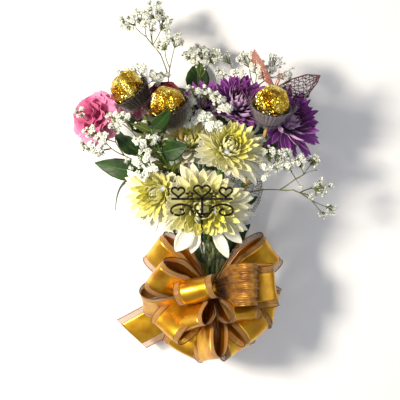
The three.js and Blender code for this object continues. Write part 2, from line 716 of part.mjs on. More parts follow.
const FLORET = 3;
const BUD = 1.7;
const TWIG = 0.55;
const FORK = 1.3;
const SPRAYS = {
  top_left: {
    slot: 4,
    from: [-37.5, 186, 48],
    joints: [
      [-1, -39, 199.5, 52],
      [0, -46, 219, 54],
      [1, -53.5, 228, 55],
      [2, -59.5, 235.5, 56],
      [0, -37.5, 206.5, 54],
    ],
    heads: [
      [3, -75.5, 248.5, 60, 8, 9, FLORET],
      [3, -62, 253, 62, 7, 7, FLORET],
      [2, -50, 258, 62, 8, 9, FLORET],
      [2, -42.5, 247, 60, 7, 7, FLORET],
      [2, -55.5, 244.5, 66, 6, 5, FLORET],
      [4, -43.5, 228, 60, 6, 5, FLORET],
      [4, -31.5, 231.5, 58, 6.5, 6, FLORET],
    ],
  },
  top: {
    slot: 14,
    from: [-11, 186, 26],
    joints: [[-1, -9, 201, 27]],
    heads: [
      [0, -18, 222, 30, 6.5, 7, FLORET],
      [0, -7.5, 225, 30, 6.5, 7, FLORET],
      [0, 3.5, 221.5, 28, 6.5, 7, FLORET],
      [0, -8, 212.5, 36, 4.5, 4, BUD],
    ],
  },
  upper_right: {
    slot: 6,
    from: [43, 176, 60],
    joints: [
      [-1, 41.5, 186.5, 66],
      [0, 30, 193, 66],
      [0, 54, 196, 64],
    ],
    heads: [
      [1, 15, 213, 66, 6, 6, BUD],
      [1, 10, 200.5, 68, 5, 4, BUD],
      [1, 26, 196, 78, 5.5, 4, FLORET],
      [0, 34, 211, 74, 7.5, 7, FLORET],
      [0, 43, 202, 80, 6.5, 6, FLORET],
      [2, 53, 201, 76, 6, 5, FLORET],
      [2, 60, 210, 68, 7.5, 7, BUD],
      [2, 69, 196, 70, 5.5, 5, FLORET],
      [2, 77, 205, 64, 1.5, 1, BUD],
    ],
  },
  centre: {
    slot: 20,
    from: [0, 143, 78],
    joints: [
      [-1, -1, 150, 96],
      [0, -8, 160, 99],
      [0, 3, 161, 98],
    ],
    heads: [
      [1, -14.5, 178, 99, 5.5, 4, FLORET],
      [1, -4, 177, 98, 4.5, 3, FLORET],
      [2, 6, 170.5, 102, 5, 4, FLORET],
      [2, 13, 162, 106, 4.5, 3, FLORET],
      [1, -18, 166, 102, 5, 4, FLORET],
      [0, -6.5, 155.5, 107, 5, 5, FLORET],
      [0, -17, 152.5, 105, 4.5, 3, FLORET],
      [0, 4, 147.5, 110, 5, 4, FLORET],
    ],
  },
  left: {
    slot: 13,
    from: [-56, 97.5, 68],
    joints: [
      [-1, -62.5, 113, 78],
      [0, -77, 122.5, 92],
      [1, -88, 128.5, 96],
      [1, -84, 134, 100],
    ],
    heads: [
      [2, -117, 161, 94, 4, 3, FLORET],
      [3, -106, 143, 106, 5, 4, FLORET],
      [3, -95, 137, 107, 5.5, 5, FLORET],
      [2, -110, 131, 96, 5, 5, FLORET],
      [2, -99, 127, 99, 5.5, 5, FLORET],
      [3, -84, 146, 108, 4.5, 4, FLORET],
    ],
  },
  front_left: {
    slot: 29,
    from: [-48, 106, 84],
    joints: [
      [-1, -54, 116, 98],
      [0, -57, 127, 104],
      [1, -68, 142, 106],
    ],
    heads: [
      [2, -75, 155, 113, 5, 5, FLORET],
      [2, -86, 155, 108, 5, 4, FLORET],
      [1, -59.5, 147, 114, 4.5, 4, FLORET],
      [1, -53, 143, 112, 4.5, 4, FLORET],
      [1, -62, 132.5, 114, 5, 4, FLORET],
      [1, -51, 135.5, 116, 4.5, 4, FLORET],
      [0, -57, 124, 114, 4.5, 3, FLORET],
      [0, -70, 115.5, 104, 4.5, 3, FLORET],
      [0, -60, 116, 110, 4.5, 3, FLORET],
      [-1, -60, 105, 104, 5, 4, FLORET],
      [-1, -51, 108, 107, 4.5, 3, FLORET],
    ],
  },
  right_low: {
    slot: 8,
    from: [45, 91.5, 72],
    joints: [
      [-1, 63.5, 92, 78],
      [0, 75.5, 92, 80],
      [1, 81.5, 89.5, 80],
      [2, 92, 83, 76],
      [0, 77.5, 102, 84],
      [4, 84.5, 106, 86],
      [2, 91.5, 93.5, 80],
    ],
    heads: [
      [3, 111.5, 74.5, 70, 5, 6, BUD],
      [3, 104.5, 70, 66, 3.5, 3, BUD],
      [6, 100.5, 93, 80, 6, 6, FLORET],
      [6, 109.5, 95.5, 78, 1.8, 1, FLORET],
      [6, 100.5, 101, 82, 1.8, 1, FLORET],
      [2, 90, 87.5, 84, 3, 2, FLORET],
      [5, 93, 118, 84, 5, 5, FLORET],
      [5, 96, 110, 84, 1.5, 1, BUD],
      [5, 79, 117, 90, 5.5, 5, FLORET],
      [4, 81, 95, 90, 2, 1, FLORET],
      [4, 70, 112, 92, 4.5, 4, FLORET],
    ],
  },
  right_middle: {
    slot: 22,
    from: [38, 98, 82],
    joints: [
      [-1, 49, 101, 84],
      [0, 54, 112, 90],
    ],
    heads: [
      [1, 52, 124, 98, 5.5, 5, FLORET],
      [1, 61, 122, 96, 5.5, 5, FLORET],
      [1, 68, 124, 94, 4.5, 4, FLORET],
      [0, 50, 111, 99, 4.5, 4, FLORET],
      [1, 59, 110, 97, 4, 3, FLORET],
      [0, 48, 102, 95, 3.5, 3, FLORET],
      [1, 47, 135, 97, 3.5, 2, FLORET],
    ],
  },
  back_left: {
    slot: 0,
    from: [-57, 178, 42],
    joints: [[-1, -60, 190, 60]],
    heads: [
      [0, -77.5, 199, 80, 5.5, 4, FLORET],
      [0, -64, 199, 80, 6.5, 6, FLORET],
      [0, -49.5, 194, 74, 5.5, 6, FLORET],
      [0, -42, 197, 64, 4.5, 3, FLORET],
    ],
  },
};
const FLORET_SHARE = 0.66; // of the florets counted above, as solids

// Florets sit on a small ball round a cluster's centre, evenly spread.
function floretPoints(centre, radius, count, random) {
  return Array.from({ length: count }, (_, k) => {
    if (count === 1) return centre.clone();
    const height = 1 - (2 * (k + 0.5)) / count;
    const round = Math.sqrt(1 - height * height);
    const turn = k * GOLDEN_ANGLE + random() * 0.8;
    const share = radius * (0.7 + 0.35 * random());
    return centre
      .clone()
      .add(new THREE.Vector3(round * Math.cos(turn), round * Math.sin(turn), height).multiplyScalar(share));
  });
}

// Shares of a floret's way out of its cluster, and of its size, tried in turn until it fits.
const LINK_TRIES = 9; // pairs of faces tried for a twig between two hubs
const FLORET_FITS = [
  [1, 1],
  [1.15, 1],
  [1.3, 0.9],
  [1, 0.8],
  [1.5, 0.8],
  [0.85, 0.7],
  [1.2, 0.6],
  [1, 0.5],
];

function spray(name, seed, grow) {
  fitted[name] ??= [];
  const { slot, from, joints, heads } = SPRAYS[name];
  const random = seeded(seed);
  const start = vec(from);
  const places = joints.map((j) => vec(j.slice(1)));
  const growth = new Growth(grow);
  const forks = places.map((place) => growth.hub(place, FORK));
  const first = growth.hub(start, FORK);
  const fork = (k) => (k < 0 ? first : forks[k]);
  joints.forEach(([parent], k) => growth.link(fork(parent), forks[k]));
  // The first floret of a cluster is always drawn, so that each cluster has one.
  let drawn = 0;
  const flower = (hub, centre, point, size, first) => {
    const draw = ([out, share]) => growth.floret(hub, centre.clone().lerp(point, out), size * share);
    const k = drawn++;
    if (!grow) {
      fitted[name][k] = FLORET_FITS[growth.firstFit([hub], FLORET_FITS.map((fit) => () => draw(fit)))];
      if (fitted[name][k] || !first) return;
      fitted[name][k] = FLORET_FITS[FLORET_FITS.length - 1];
    }
    if (fitted[name][k]) draw(fitted[name][k]);
  };
  for (const [parent, x, y, z, radius, total, size] of heads) {
    const centre = new THREE.Vector3(x, y, z);
    const stem = fork(parent);
    const gap = stem.centre.distanceTo(centre);
    const base = stem.centre.clone().lerp(centre, Math.max(gap - radius, 0.4 * radius) / gap);
    const count = Math.max(1, Math.round(total * FLORET_SHARE));
    if (count === 1) {
      flower(stem, stem.centre, centre, size, true);
      continue;
    }
    const hub = growth.hub(base, FORK * 0.8);
    growth.link(stem, hub);
    floretPoints(centre, radius, Math.min(count, 7), random).forEach((point, k) =>
      flower(hub, centre, point, size, k === 0),
    );
    growth.close(hub);
  }
  const arrive = new THREE.Vector3().subVectors(places[0], start).normalize();
  const foot = growth.take(first, start.clone().addScaledVector(arrive, -9));
  const stalk = stalkPath(slot, start, arrive, 30).reverse().slice(1);
  let ring = foot;
  stalk.forEach((point, i) => {
    const behind = i ? stalk[i - 1] : start;
    const ahead = stalk[i + 1] ?? point.clone().multiplyScalar(2).sub(behind);
    const along = new THREE.Vector3().subVectors(ahead, behind).normalize();
    ring = growth.ring(ring, point, along, mix(1, SPRAY_STEM_RADIUS, (i + 1) / stalk.length));
  });
  growth.faces.push(ring);
  for (const hub of [first, ...forks]) growth.close(hub);
  return growth.solid();
}

// Leaves: pointed blades folded a little along the rib, on a stalk of their own stem.
// Each leaf: the point where it leaves the stem, its tip, the way its face looks and its half width.

const LEAFY_STEMS = {
  left: {
    slot: 27,
    tip: [-62, 124, 80],
    arrive: [-0.35, 0.8, 0.4],
    leaves: [
      { from: [-62, 106, 66], to: [-106, 117, 70], faces: [0.1, -0.15, 1], half: 10 },
      { from: [-61, 102, 62], to: [-88, 73, 60], faces: [0.75, -0.5, 0.35], half: 5 },
      { from: [-62, 124, 80], to: [-86, 142, 86], faces: [0.2, -0.3, 1], half: 8 },
    ],
  },
  centre: {
    slot: 25,
    tip: [-51, 144, 122],
    arrive: [-0.1, 0.5, 0.86],
    leaves: [
      { from: [-46, 122, 100], to: [-20, 130, 114], faces: [-0.35, -0.25, 1], half: 10 },
      { from: [-51, 144, 122], to: [-34, 159, 142], faces: [-0.1, -0.75, 0.6], half: 7 },
    ],
  },
  back: {
    slot: 3,
    tip: [-12, 186, 4],
    arrive: [0, 1, -0.05],
    leaves: [
      { from: [-12, 186, 4], to: [-11, 221, 6], faces: [0, 0, 1], half: 12 },
      { from: [-12, 170, 5], to: [-40, 196, 1.2], faces: [0, 0, 1], half: 10 },
    ],
  },
  back_left: {
    slot: 15,
    tip: [-46, 148, 20],
    arrive: [0, 1, -0.05],
    leaves: [
      { from: [-46, 148, 20], to: [-88, 172, 0.2], faces: [-0.4, 0, 1], half: 11 },
      { from: [-42, 132, 20], to: [-88, 136, 16], faces: [0.1, 0, 1], half: 10 },
    ],
  },
  back_right: {
    slot: 18,
    tip: [44, 146, 20],
    arrive: [0, 1, -0.05],
    leaves: [
      { from: [44, 146, 20], to: [82, 174, 0.2], faces: [0.4, 0, 1], half: 11 },
      { from: [40, 132, 20], to: [86, 136, 16], faces: [-0.1, 0, 1], half: 10 },
      { from: [44, 146, 20], to: [34, 186, 10], faces: [0, 0, 1], half: 9 },
    ],
  },
};

function leaf({ to, faces, half }, start, grow) {
  const end = vec(to);
  const along = new THREE.Vector3().subVectors(end, start);
  const length = along.length();
  along.normalize();
  const side = new THREE.Vector3().crossVectors(vec(faces), along).normalize();
  const up = new THREE.Vector3().crossVectors(along, side).normalize();
  const stations = [0, 0.12, 0.34, 0.58, 0.84, 1];
  const widths = [0.06, 0.14, 0.88, 1, 0.5, 0.05];
  const grid = stations.map((t, i) =>
    [-1, 0, 1].map((u) => {
      const width = Math.max(half * widths[i], 0.6) + grow;
      const arch = 0.1 * length * Math.sin(Math.PI * t);
      const wave = u ? 0.16 * half * widths[i] + 0.05 * half * Math.sin(9 * t + u) : 0;
      return start
        .clone()
        .addScaledVector(along, length * t + (t - 0.5) * 2 * grow)
        .addScaledVector(side, width * u)
        .addScaledVector(up, arch + wave);
    }),
  );
  return plate(grid, BLADE + 2 * grow);
}

function leafyStem(name, grow) {
  const { slot, tip, arrive, leaves } = LEAFY_STEMS[name];
  const path = stalkPath(slot, vec(tip), vec(arrive).normalize(), 36);
  const solids = [tube(path, SPRAY_STEM_RADIUS, 4, grow)];
  for (const blade of leaves) {
    const from = vec(blade.from);
    const nearest = path.reduce((a, b) => (b.distanceTo(from) < a.distanceTo(from) ? b : a));
    solids.push(leaf(blade, nearest, grow));
  }
  return join(solids);
}

// Chocolates: a crumpled foil ball in a fluted paper cup, in a clear cup on a stick.

function turned(solid, centre, axis) {
  const spin = new THREE.Quaternion().setFromUnitVectors(new THREE.Vector3(0, 0, 1), axis);
  const matrix = new THREE.Matrix4().compose(centre, spin, new THREE.Vector3(1, 1, 1));
  return solid.transform(matrix.elements);
}

function foilBall(name, seed, grow) {
  const random = seeded(seed);
  const merged = mergeVertices(stripped(new THREE.IcosahedronGeometry(1, 1)), 1e-4);
  const position = merged.getAttribute("position");
  for (let i = 0; i < position.count; i++) {
    const crumple = BALL_RADIUS * (0.94 + 0.06 * random()) + grow;
    position.setXYZ(i, position.getX(i) * crumple, position.getY(i) * crumple, position.getZ(i) * crumple);
  }
  return turned(toSolid(merged), vec(CHOCOLATES[name].at), vec(CHOCOLATES[name].faces).normalize());
}

const CUP_FLUTES = 11;
const CUP_WALL = 0.8;
const CUP_RIM = { height: -3.5, radius: 18.1 };
const CUP_BASE = { height: -17.6, radius: 11.2 };

function paperCup(name, grow) {
  const ring = (height, radius, flute) =>
    Array.from({ length: CUP_FLUTES * 2 }, (_, k) => {
      const angle = (Math.PI * k) / CUP_FLUTES;
      const r = radius + (k % 2 ? flute : -flute);
      return new THREE.Vector3(r * Math.cos(angle), r * Math.sin(angle), height);
    });
  const solid = skin([
    ring(CUP_BASE.height - grow, CUP_BASE.radius + grow, 0.3),
    ring(CUP_RIM.height + grow, CUP_RIM.radius + grow, 0.7),
    ring(CUP_RIM.height + grow, CUP_RIM.radius - CUP_WALL - grow, 0.7),
    ring(CUP_BASE.height + CUP_WALL + grow, CUP_BASE.radius - CUP_WALL - grow, 0.3),
  ]);
  return turned(solid, vec(CHOCOLATES[name].at), vec(CHOCOLATES[name].faces).normalize());
}

const HOLDER = { base: -18.2, floor: 1.2, baseRadius: 13.1, rim: 2, rimRadius: 23.1, wall: 0.8, sides: 14 };
const SOCKET = { depth: 8, radius: 3.2, bore: STICK_RADIUS + 1.2 * CLEARANCE };

function clearCup(name, grow) {
  const { base, floor, baseRadius, rim, rimRadius, wall, sides } = HOLDER;
  const under = base - floor;
  const profile = [
    [0, under - grow],
    [SOCKET.bore, under - grow],
    [SOCKET.bore, under - SOCKET.depth],
    [SOCKET.radius + grow, under - SOCKET.depth],
    [SOCKET.radius + grow, under - grow],
    [baseRadius + grow, under - grow],
    [rimRadius + grow, rim + grow],
    [rimRadius - wall - grow, rim + grow],
    [baseRadius - wall - grow, base + grow],
    [0, base + grow],
  ].map(([r, z]) => new THREE.Vector2(r, z));
  const lathe = new THREE.LatheGeometry(profile, sides).rotateX(Math.PI / 2);
  const cup = toSolid(lathe);
  const slit = toSolid(new THREE.BoxGeometry(4 - 2 * grow, 12, 12).translate(0, -rimRadius, rim));
  const axis = vec(CHOCOLATES[name].faces).normalize();
  const whole = cup.volume() < 0 ? toSolid(lathe.scale(1, 1, -1)) : cup;
  return turned(whole.subtract(slit), vec(CHOCOLATES[name].at), axis);
}

function stick(name, grow) {
  const { at, faces, slot } = CHOCOLATES[name];
  const axis = vec(faces).normalize();
  const under = HOLDER.base - HOLDER.floor;
  const mouth = vec(at).addScaledVector(axis, under - SOCKET.depth - 2);
  const top = vec(at).addScaledVector(axis, under - CLEARANCE);
  const foot = waistPoint(slot).addScaledVector(headDirection, 8);
  return tube([foot, mouth, top], STICK_RADIUS, 6, grow);
}

// Butterfly: two wings of cut paper, joined to a slim body on a wire.

const BUTTERFLY = { body: [59, 184, 76], wire: [67, 158, 72], nose: [0.37, 0.9, 0.2] };
const WINGS = {
  right: { tip: [99, 194, 90], lean: [0.42, -0.88, 0.2] },
  left: { tip: [38.5, 217.5, 96], lean: [-0.5, -0.15, -0.85] },
};
const WING_LENGTH = 43;

// Front and back edges of a wing as shares of its length, from root to tip.
const WING_LEAD = [
  [0.06, 0.03],
  [0.38, 0.2],
  [0.72, 0.27],
  [1, 0.16],
];
const WING_TRAIL = [
  [0.04, -0.05],
  [0.26, -0.34],
  [0.56, -0.24],
  [0.9, -0.04],
];
const WING_ROWS = 2;
const VEIN = 0.5; // half the width of the paper left between two openings

function wing(side, grow) {
  const { tip, lean } = WINGS[side];
  const root = vec(BUTTERFLY.body);
  const along = new THREE.Vector3().subVectors(vec(tip), root).normalize();
  const down = vec(lean);
  down.addScaledVector(along, -down.dot(along)).normalize();
  const face = new THREE.Vector3().crossVectors(along, down);
  const corner = (i, j) =>
    new THREE.Vector2(
      WING_LENGTH * mix(WING_LEAD[i][0], WING_TRAIL[i][0], j / WING_ROWS),
      -WING_LENGTH * mix(WING_LEAD[i][1], WING_TRAIL[i][1], j / WING_ROWS),
    );
  const columns = WING_LEAD.map((_, i) => i);
  const outline = new THREE.Shape([
    ...columns.map((i) => corner(i, 0)),
    ...columns.reverse().map((i) => corner(i, WING_ROWS)),
  ]);
  for (let i = 0; i + 1 < columns.length && !grow; i++)
    for (let j = 0; j < WING_ROWS; j++) {
      const ring = [corner(i, j), corner(i, j + 1), corner(i + 1, j + 1), corner(i + 1, j)];
      const middle = ring.reduce((sum, p) => sum.add(p), new THREE.Vector2()).divideScalar(4);
      const inset = ring.map((p) => {
        const inwards = middle.clone().sub(p);
        return p.clone().addScaledVector(inwards, Math.min(0.5, (VEIN * 2.2) / inwards.length()));
      });
      outline.holes.push(new THREE.Path(inset));
    }
  const depth = BLADE + 2 * grow;
  const sheet = new THREE.ExtrudeGeometry(outline, { depth, bevelEnabled: false });
  sheet.translate(0, 0, -depth / 2);
  const place = new THREE.Matrix4().makeBasis(along, down, face).setPosition(root);
  return toSolid(sheet).transform(place.elements);
}

function butterfly(grow) {
  const nose = vec(BUTTERFLY.nose).normalize();
  const middle = vec(BUTTERFLY.body);
  const body = tube(
    [-12, -5, 3, 8, 11].map((s) => middle.clone().addScaledVector(nose, s)),
    [0.7, 1.5, 1.9, 1.3, 0.6],
    6,
    grow,
  );
  const wire = tube([middle, vec(BUTTERFLY.wire)], 0.6, 5, grow);
  return join([body, wire, wing("right", grow), wing("left", grow)]);
}

// Ornament pick: flat strokes cut from black sheet, on a stick of the same sheet.

const ORNAMENT = { centre: [-7.5, 82.5, 135], tilt: 33, thickness: 1.1, stroke: 1.5 };

// Points of a heart, a spiral scroll and a five-pointed star, in the sheet's own plane.
const heartLine = (x, y, size) =>
  Array.from({ length: 9 }, (_, k) => {
    const a = (2 * Math.PI * k) / 8;
    const across = 16 * Math.pow(Math.sin(a), 3);
    const up = 13 * Math.cos(a) - 5 * Math.cos(2 * a) - 2 * Math.cos(3 * a) - Math.cos(4 * a);
    return [x + (across * size) / 32, y + (up * size) / 32];
  });
const scrollLine = (side) =>
  Array.from({ length: 15 }, (_, k) => {
    const t = k / 14;
    const turn = 0.4 + t * 7.4;
    const radius = mix(10.5, 2.4, Math.pow(t, 0.7));
    return [side * (19 - radius * Math.cos(turn) * 1.15), -11 + radius * Math.sin(turn) * 0.82];
  });

function stroke(line, width, thickness, closed, grow) {
  const points = line.map(([x, y]) => new THREE.Vector3(x, y, 0));
  const grid = points.map((p, i) => {
    const ahead = points[closed ? (i + 1) % (points.length - 1) : Math.min(i + 1, points.length - 1)];
    const behind = points[closed ? (i + points.length - 2) % (points.length - 1) : Math.max(i - 1, 0)];
    const along = new THREE.Vector3().subVectors(ahead, behind).normalize();
    const side = new THREE.Vector3(-along.y, along.x, 0);
    const half = width / 2 + grow;
    return [p.clone().addScaledVector(side, half), p.clone().addScaledVector(side, -half)];
  });
  const depth = thickness + 2 * grow;
  if (!closed) return plate(grid, depth);
  const pieces = [];
  for (let i = 0; i + 1 < grid.length; i++) pieces.push(plate([grid[i], grid[i + 1]], depth));
  return join(pieces);
}

function ornament(grow) {
  const { centre, tilt, thickness, stroke: width } = ORNAMENT;
  const flat = (line, closed = false, w = width) => stroke(line, w, thickness, closed, grow);
  const bar = flat([
    [-26, 1.5],
    [26, 1.5],
  ]);
  const rod = flat(
    [
      [0, 2],
      [0, -42],
    ],
    false,
    2,
  );
  const hearts = [
    [-20, 8.6, 11],
    [0, 9.6, 14],
    [20, 8.6, 11],
  ].map(([x, y, size]) => flat(heartLine(x, y, size), true));
  const posts = [-20, 0, 20].map((x) =>
    flat([
      [x, 1.5],
      [x, 4],
    ]),
  );
  const stars = [-10, 10].map((x) => {
    const star = new THREE.Shape(
      Array.from({ length: 10 }, (_, k) => {
        const [a, r] = [(Math.PI * k) / 5, (k % 2 ? 1.9 : 4.4) + grow];
        return new THREE.Vector2(x + r * Math.sin(a), 6 + r * Math.cos(a));
      }),
    );
    const depth = thickness + 2 * grow;
    const sheet = new THREE.ExtrudeGeometry(star, { depth, bevelEnabled: false });
    return toSolid(sheet.translate(0, 0, -depth / 2));
  });
  const scrolls = [-1, 1].map((side) => flat(scrollLine(side)));
  const links = [-1, 1].map((side) =>
    flat([
      [0, -14],
      [side * 6, -13.2],
      [side * 9.8, -9],
    ]),
  );
  const sheet = join([bar, rod, ...hearts, ...posts, ...stars, ...scrolls, ...links]);
  const matrix = new THREE.Matrix4().makeRotationX(radians(tilt)).setPosition(vec(centre));
  return sheet.transform(matrix.elements);
}

// Crystal pins: a cut stone on a thin shaft pushed into a bloom.

const PINS = {
  1: { at: [-23.5, 73.5, 122], into: "cream_front" },
  2: { at: [4.5, 73, 124], into: "cream_front" },
  3: { at: [-11.5, 66, 123], into: "cream_front" },
  4: { at: [14, 124, 118], into: "cream_right" },
  5: { at: [-42, 93, 106], into: "cream_left" },
};
const STONE = { radius: 2.7, table: 1.5, girdle: 0.6, depth: 2.4, crown: 1.5, sides: 6, shaft: 0.6 };

function pin(number, grow) {
  const { at, into } = PINS[number];
  const top = vec(at);
  const axis = new THREE.Vector3().subVectors(top, BLOOMS[into].centre).normalize();
  const foot = 2 - top.distanceTo(BLOOMS[into].centre);
  const heights = [foot - grow, -STONE.depth, -STONE.girdle / 2, STONE.girdle / 2, STONE.crown + grow];
  const radii = [STONE.shaft, STONE.shaft, STONE.radius, STONE.radius, STONE.table];
  const line = heights.map((h) => top.clone().addScaledVector(axis, h));
  return tube(line, radii, STONE.sides, grow);
}

// The sleeve: a clear film cone, low at the front and high at the back, flat where it lies on the table.

function profileRadius(y) {
  const k = Math.max(1, SLEEVE_PROFILE.findIndex(([at]) => at >= y));
  const [[y0, r0], [y1, r1]] = [SLEEVE_PROFILE[k - 1], SLEEVE_PROFILE[k]];
  return mix(r0, r1, (y - y0) / (y1 - y0));
}

const centreLine = (y) => WAIST_HEIGHT + y * (y < 0 ? HANDLE_SLOPE : HEAD_SLOPE);

const SLEEVE_SIDES = 24;
const SLEEVE_PLEAT = 0.8; // depth of the pleats at the rim
const SLEEVE_ROWS = [SLEEVE_BOTTOM, -5.5, 5.5, 0.28, 0.66, 1];

function sleeve() {
  const rimHeight = (angle) => mix(SLEEVE_FRONT, SLEEVE_BACK, Math.pow((1 - Math.cos(angle)) / 2, 0.7));
  const ring = (row, inset) =>
    Array.from({ length: SLEEVE_SIDES }, (_, k) => {
      const angle = (2 * Math.PI * k) / SLEEVE_SIDES;
      const y = row > 0 && row <= 1 ? row * rimHeight(angle) : row;
      const pleat = Math.max(0, y / SLEEVE_BACK) * SLEEVE_PLEAT * (k % 2 ? -1 : 1);
      const radius = profileRadius(y) + pleat - inset;
      const z = centreLine(y) + radius * Math.cos(angle);
      return new THREE.Vector3(radius * Math.sin(angle), y, Math.max(z, inset));
    });
  const outside = SLEEVE_ROWS.map((row) => ring(row, 0));
  const inside = SLEEVE_ROWS.map((row) => ring(row, SLEEVE_FILM)).reverse();
  return tubeOfRings([...outside, ...inside]);
}

// Closes a row of rings back onto the first, as the wall of an open pipe.
function tubeOfRings(rings) {
  const n = rings[0].length;
  const triangles = [];
  rings.forEach((_, r) => {
    const [a, b] = [r * n, ((r + 1) % rings.length) * n];
    for (let k = 0; k < n; k++) {
      const next = (k + 1) % n;
      triangles.push([a + k, a + next, b + next], [a + k, b + next, b + k]);
    }
  });
  return closedSolid(rings.flat(), triangles);
}

// The bow's own band, round the sleeve at the waist.
const BAND = { inner: 16.2, outer: 17, half: 4.5 };

function band(grow) {
  const ring = (radius, y) =>
    Array.from({ length: SLEEVE_SIDES }, (_, k) => {
      const angle = (2 * Math.PI * k) / SLEEVE_SIDES;
      return new THREE.Vector3(
        radius * Math.sin(angle),
        y,
        centreLine(y) + radius * Math.cos(angle),
      );
    });
  const { inner, outer, half } = BAND;
  return tubeOfRings([
    ring(outer + grow, -half - grow),
    ring(outer + grow, half + grow),
    ring(inner - grow, half + grow),
    ring(inner - grow, -half - grow),
  ]);
}

// The pull bow. Each loop: its heading round the bow and its rise off it in degrees, its length,
// how far its ribbon is turned about that heading, and how wide the loop stands open.

const LOOPS = [
  { heading: 143, rise: 4, length: 68, turn: 0, open: 18 },
  { heading: 163, rise: 26, length: 62, turn: 4, open: 18 },
  { heading: 190, rise: 4, length: 66, turn: 24, open: 18 },
  { heading: 221, rise: 20, length: 61, turn: 8, open: 18 },
  { heading: 243, rise: -2, length: 66, turn: -10, open: 16 },
  { heading: 268, rise: 20, length: 66, turn: 30, open: 16 },
  { heading: 293, rise: -2, length: 64, turn: -10, open: 16 },
  { heading: 316, rise: 20, length: 62, turn: -12, open: 18 },
  { heading: 343, rise: 2, length: 62, turn: 12, open: 18 },
  { heading: 6, rise: 22, length: 62, turn: 0, open: 18 },
  { heading: 35, rise: 4, length: 68, turn: 0, open: 18 },
  { heading: 18, rise: 48, length: 50, turn: 0, open: 20 },
  { heading: 246, rise: 44, length: 50, turn: 10, open: 20 },
  { heading: 312, rise: 46, length: 50, turn: -10, open: 20 },
  { heading: 170, rise: 68, length: 42, turn: 60, open: 24 },
];

// The line that a loop's ribbon follows: out along the heading, round, and back to the knot.
function loopLine({ heading, rise, length, turn, open }, steps) {
  const [a, b] = [radians(heading), radians(rise)];
  const out = new THREE.Vector3(Math.cos(a) * Math.cos(b), Math.sin(a) * Math.cos(b), Math.sin(b));
  const level = new THREE.Vector3(-Math.sin(a), Math.cos(a), 0);
  const up = new THREE.Vector3().crossVectors(out, level);
  const tilt = radians(turn);
  const width = level.clone().multiplyScalar(Math.cos(tilt)).addScaledVector(up, Math.sin(tilt));
  const over = new THREE.Vector3().crossVectors(out, width);
  return Array.from({ length: steps + 1 }, (_, k) => {
    const t = mix(0.42, 2 * Math.PI - 0.42, k / steps);
    const share = (1 - Math.cos(t)) / 2;
    return {
      point: vec(KNOT)
        .addScaledVector(out, mix(KNOT_RADIUS * 0.55, length, share))
        .addScaledVector(over, (open / 2) * Math.sin(t) * (0.35 + 0.8 * share)),
      width: width.clone().multiplyScalar(mix(0.16, 1, Math.min(1, share * 1.7))),
    };
  });
}

function ribbonStrip(line, grow) {
  const half = RIBBON_WIDTH / 2;
  const grid = line.map(({ point, width }) => [
    point.clone().addScaledVector(width, half + grow),
    point.clone().addScaledVector(width, -half - grow),
  ]);
  return plate(grid, RIBBON_THICKNESS + 2 * grow);
}

function bow(grow) {
  const knot = core(vec(KNOT), new THREE.Vector3(0, 0, 1), KNOT_RADIUS + grow, KNOT_DEPTH + grow);
  return join([knot, ...LOOPS.map((loop) => ribbonStrip(loopLine(loop, LOOP_STEPS), grow))]);
}

const TAIL = [
  [0, -2, 50],
  [-16, -12, 44],
  [-38, -26, 34],
  [-58, -38, 26],
  [-76, -48, 22],
];

function tail(grow) {
  const sideways = new THREE.Vector3(0.5, -0.82, -0.1).normalize();
  const line = TAIL.map((p, i) => ({
    point: vec(p),
    width: sideways.clone().multiplyScalar(mix(0.3, 1, Math.min(1, i / 2))),
  }));
  return ribbonStrip(line, grow);
}

// Finishes

const finish = (color, roughness, metalness = 0, opacity = 1) =>
  new THREE.MeshStandardMaterial({ color, roughness, metalness, opacity, transparent: opacity < 1 });
const CREAM = finish(0xf3efc4, 0.6);
const PURPLE = finish(0x7d2fa0, 0.6);
const PINK = finish(0xf06aa8, 0.65);
const RED = finish(0x7c0f22, 0.6);
const STEM = finish(0x5c7a36, 0.6);
const BABY = finish(0xf4f5ea, 0.7);
const LEAF = finish(0x2c5a24, 0.45);
const FOIL = finish(0xe0b02c, 0.3, 1);
const PAPER = finish(0x4a3026, 0.8);
const CLEAR = finish(0xd8dde0, 0.1, 0, 0.4);
const WOOD = finish(0xc79a5c, 0.7);
const COPPER = finish(0xb9796a, 0.4, 0.6);
const BLACK = finish(0x15120f, 0.35);
const STONE_FINISH = finish(0xe9edf2, 0.05);
const GOLD = finish(0xd49a1e, 0.3, 0.7);

// Assembly. Earlier pieces keep their shape, and later ones are cut back from them by the clearance.

const pieces = [];
const add = (name, material, make) => pieces.push({ name, material, make });

Object.keys(CHOCOLATES).forEach((side, k) =>
  add(`foil_ball_${side}`, FOIL, (g) => foilBall(side, FOIL_SEED + k, g)),
);
for (const side of Object.keys(CHOCOLATES)) add(`paper_cup_${side}`, PAPER, (g) => paperCup(side, g));
for (const side of Object.keys(CHOCOLATES)) add(`stick_${side}`, WOOD, (g) => stick(side, g));
for (const side of Object.keys(CHOCOLATES)) add(`clear_cup_${side}`, CLEAR, (g) => clearCup(side, g));
for (const number of Object.keys(PINS)) add(`crystal_pin_${number}`, STONE_FINISH, (g) => pin(number, g));
add("ornament_pick", BLACK, ornament);
add("butterfly", COPPER, butterfly);
for (const name of Object.keys(BLOOMS)) add(`stem_${name}`, STEM, (g) => bloomStem(name, g));
Object.keys(SPRAYS).forEach((name, k) =>
  add(`babys_breath_${name}`, BABY, (g) => spray(name, SPRAY_SEED + k, g)),
);
for (const name of Object.keys(LEAFY_STEMS)) add(`leaves_${name}`, LEAF, (g) => leafyStem(name, g));
for (const [name, { petals, seed }] of Object.entries(CREAM_PETALS))
  add(`bloom_${name}`, CREAM, (g) => chrysanthemum(name, petals, seed, CREAM_LOOK, g));
for (const [name, { petals, seed }] of Object.entries(PURPLE_PETALS))
  add(`bloom_${name}`, PURPLE, (g) => chrysanthemum(name, petals, seed, PURPLE_LOOK, g));
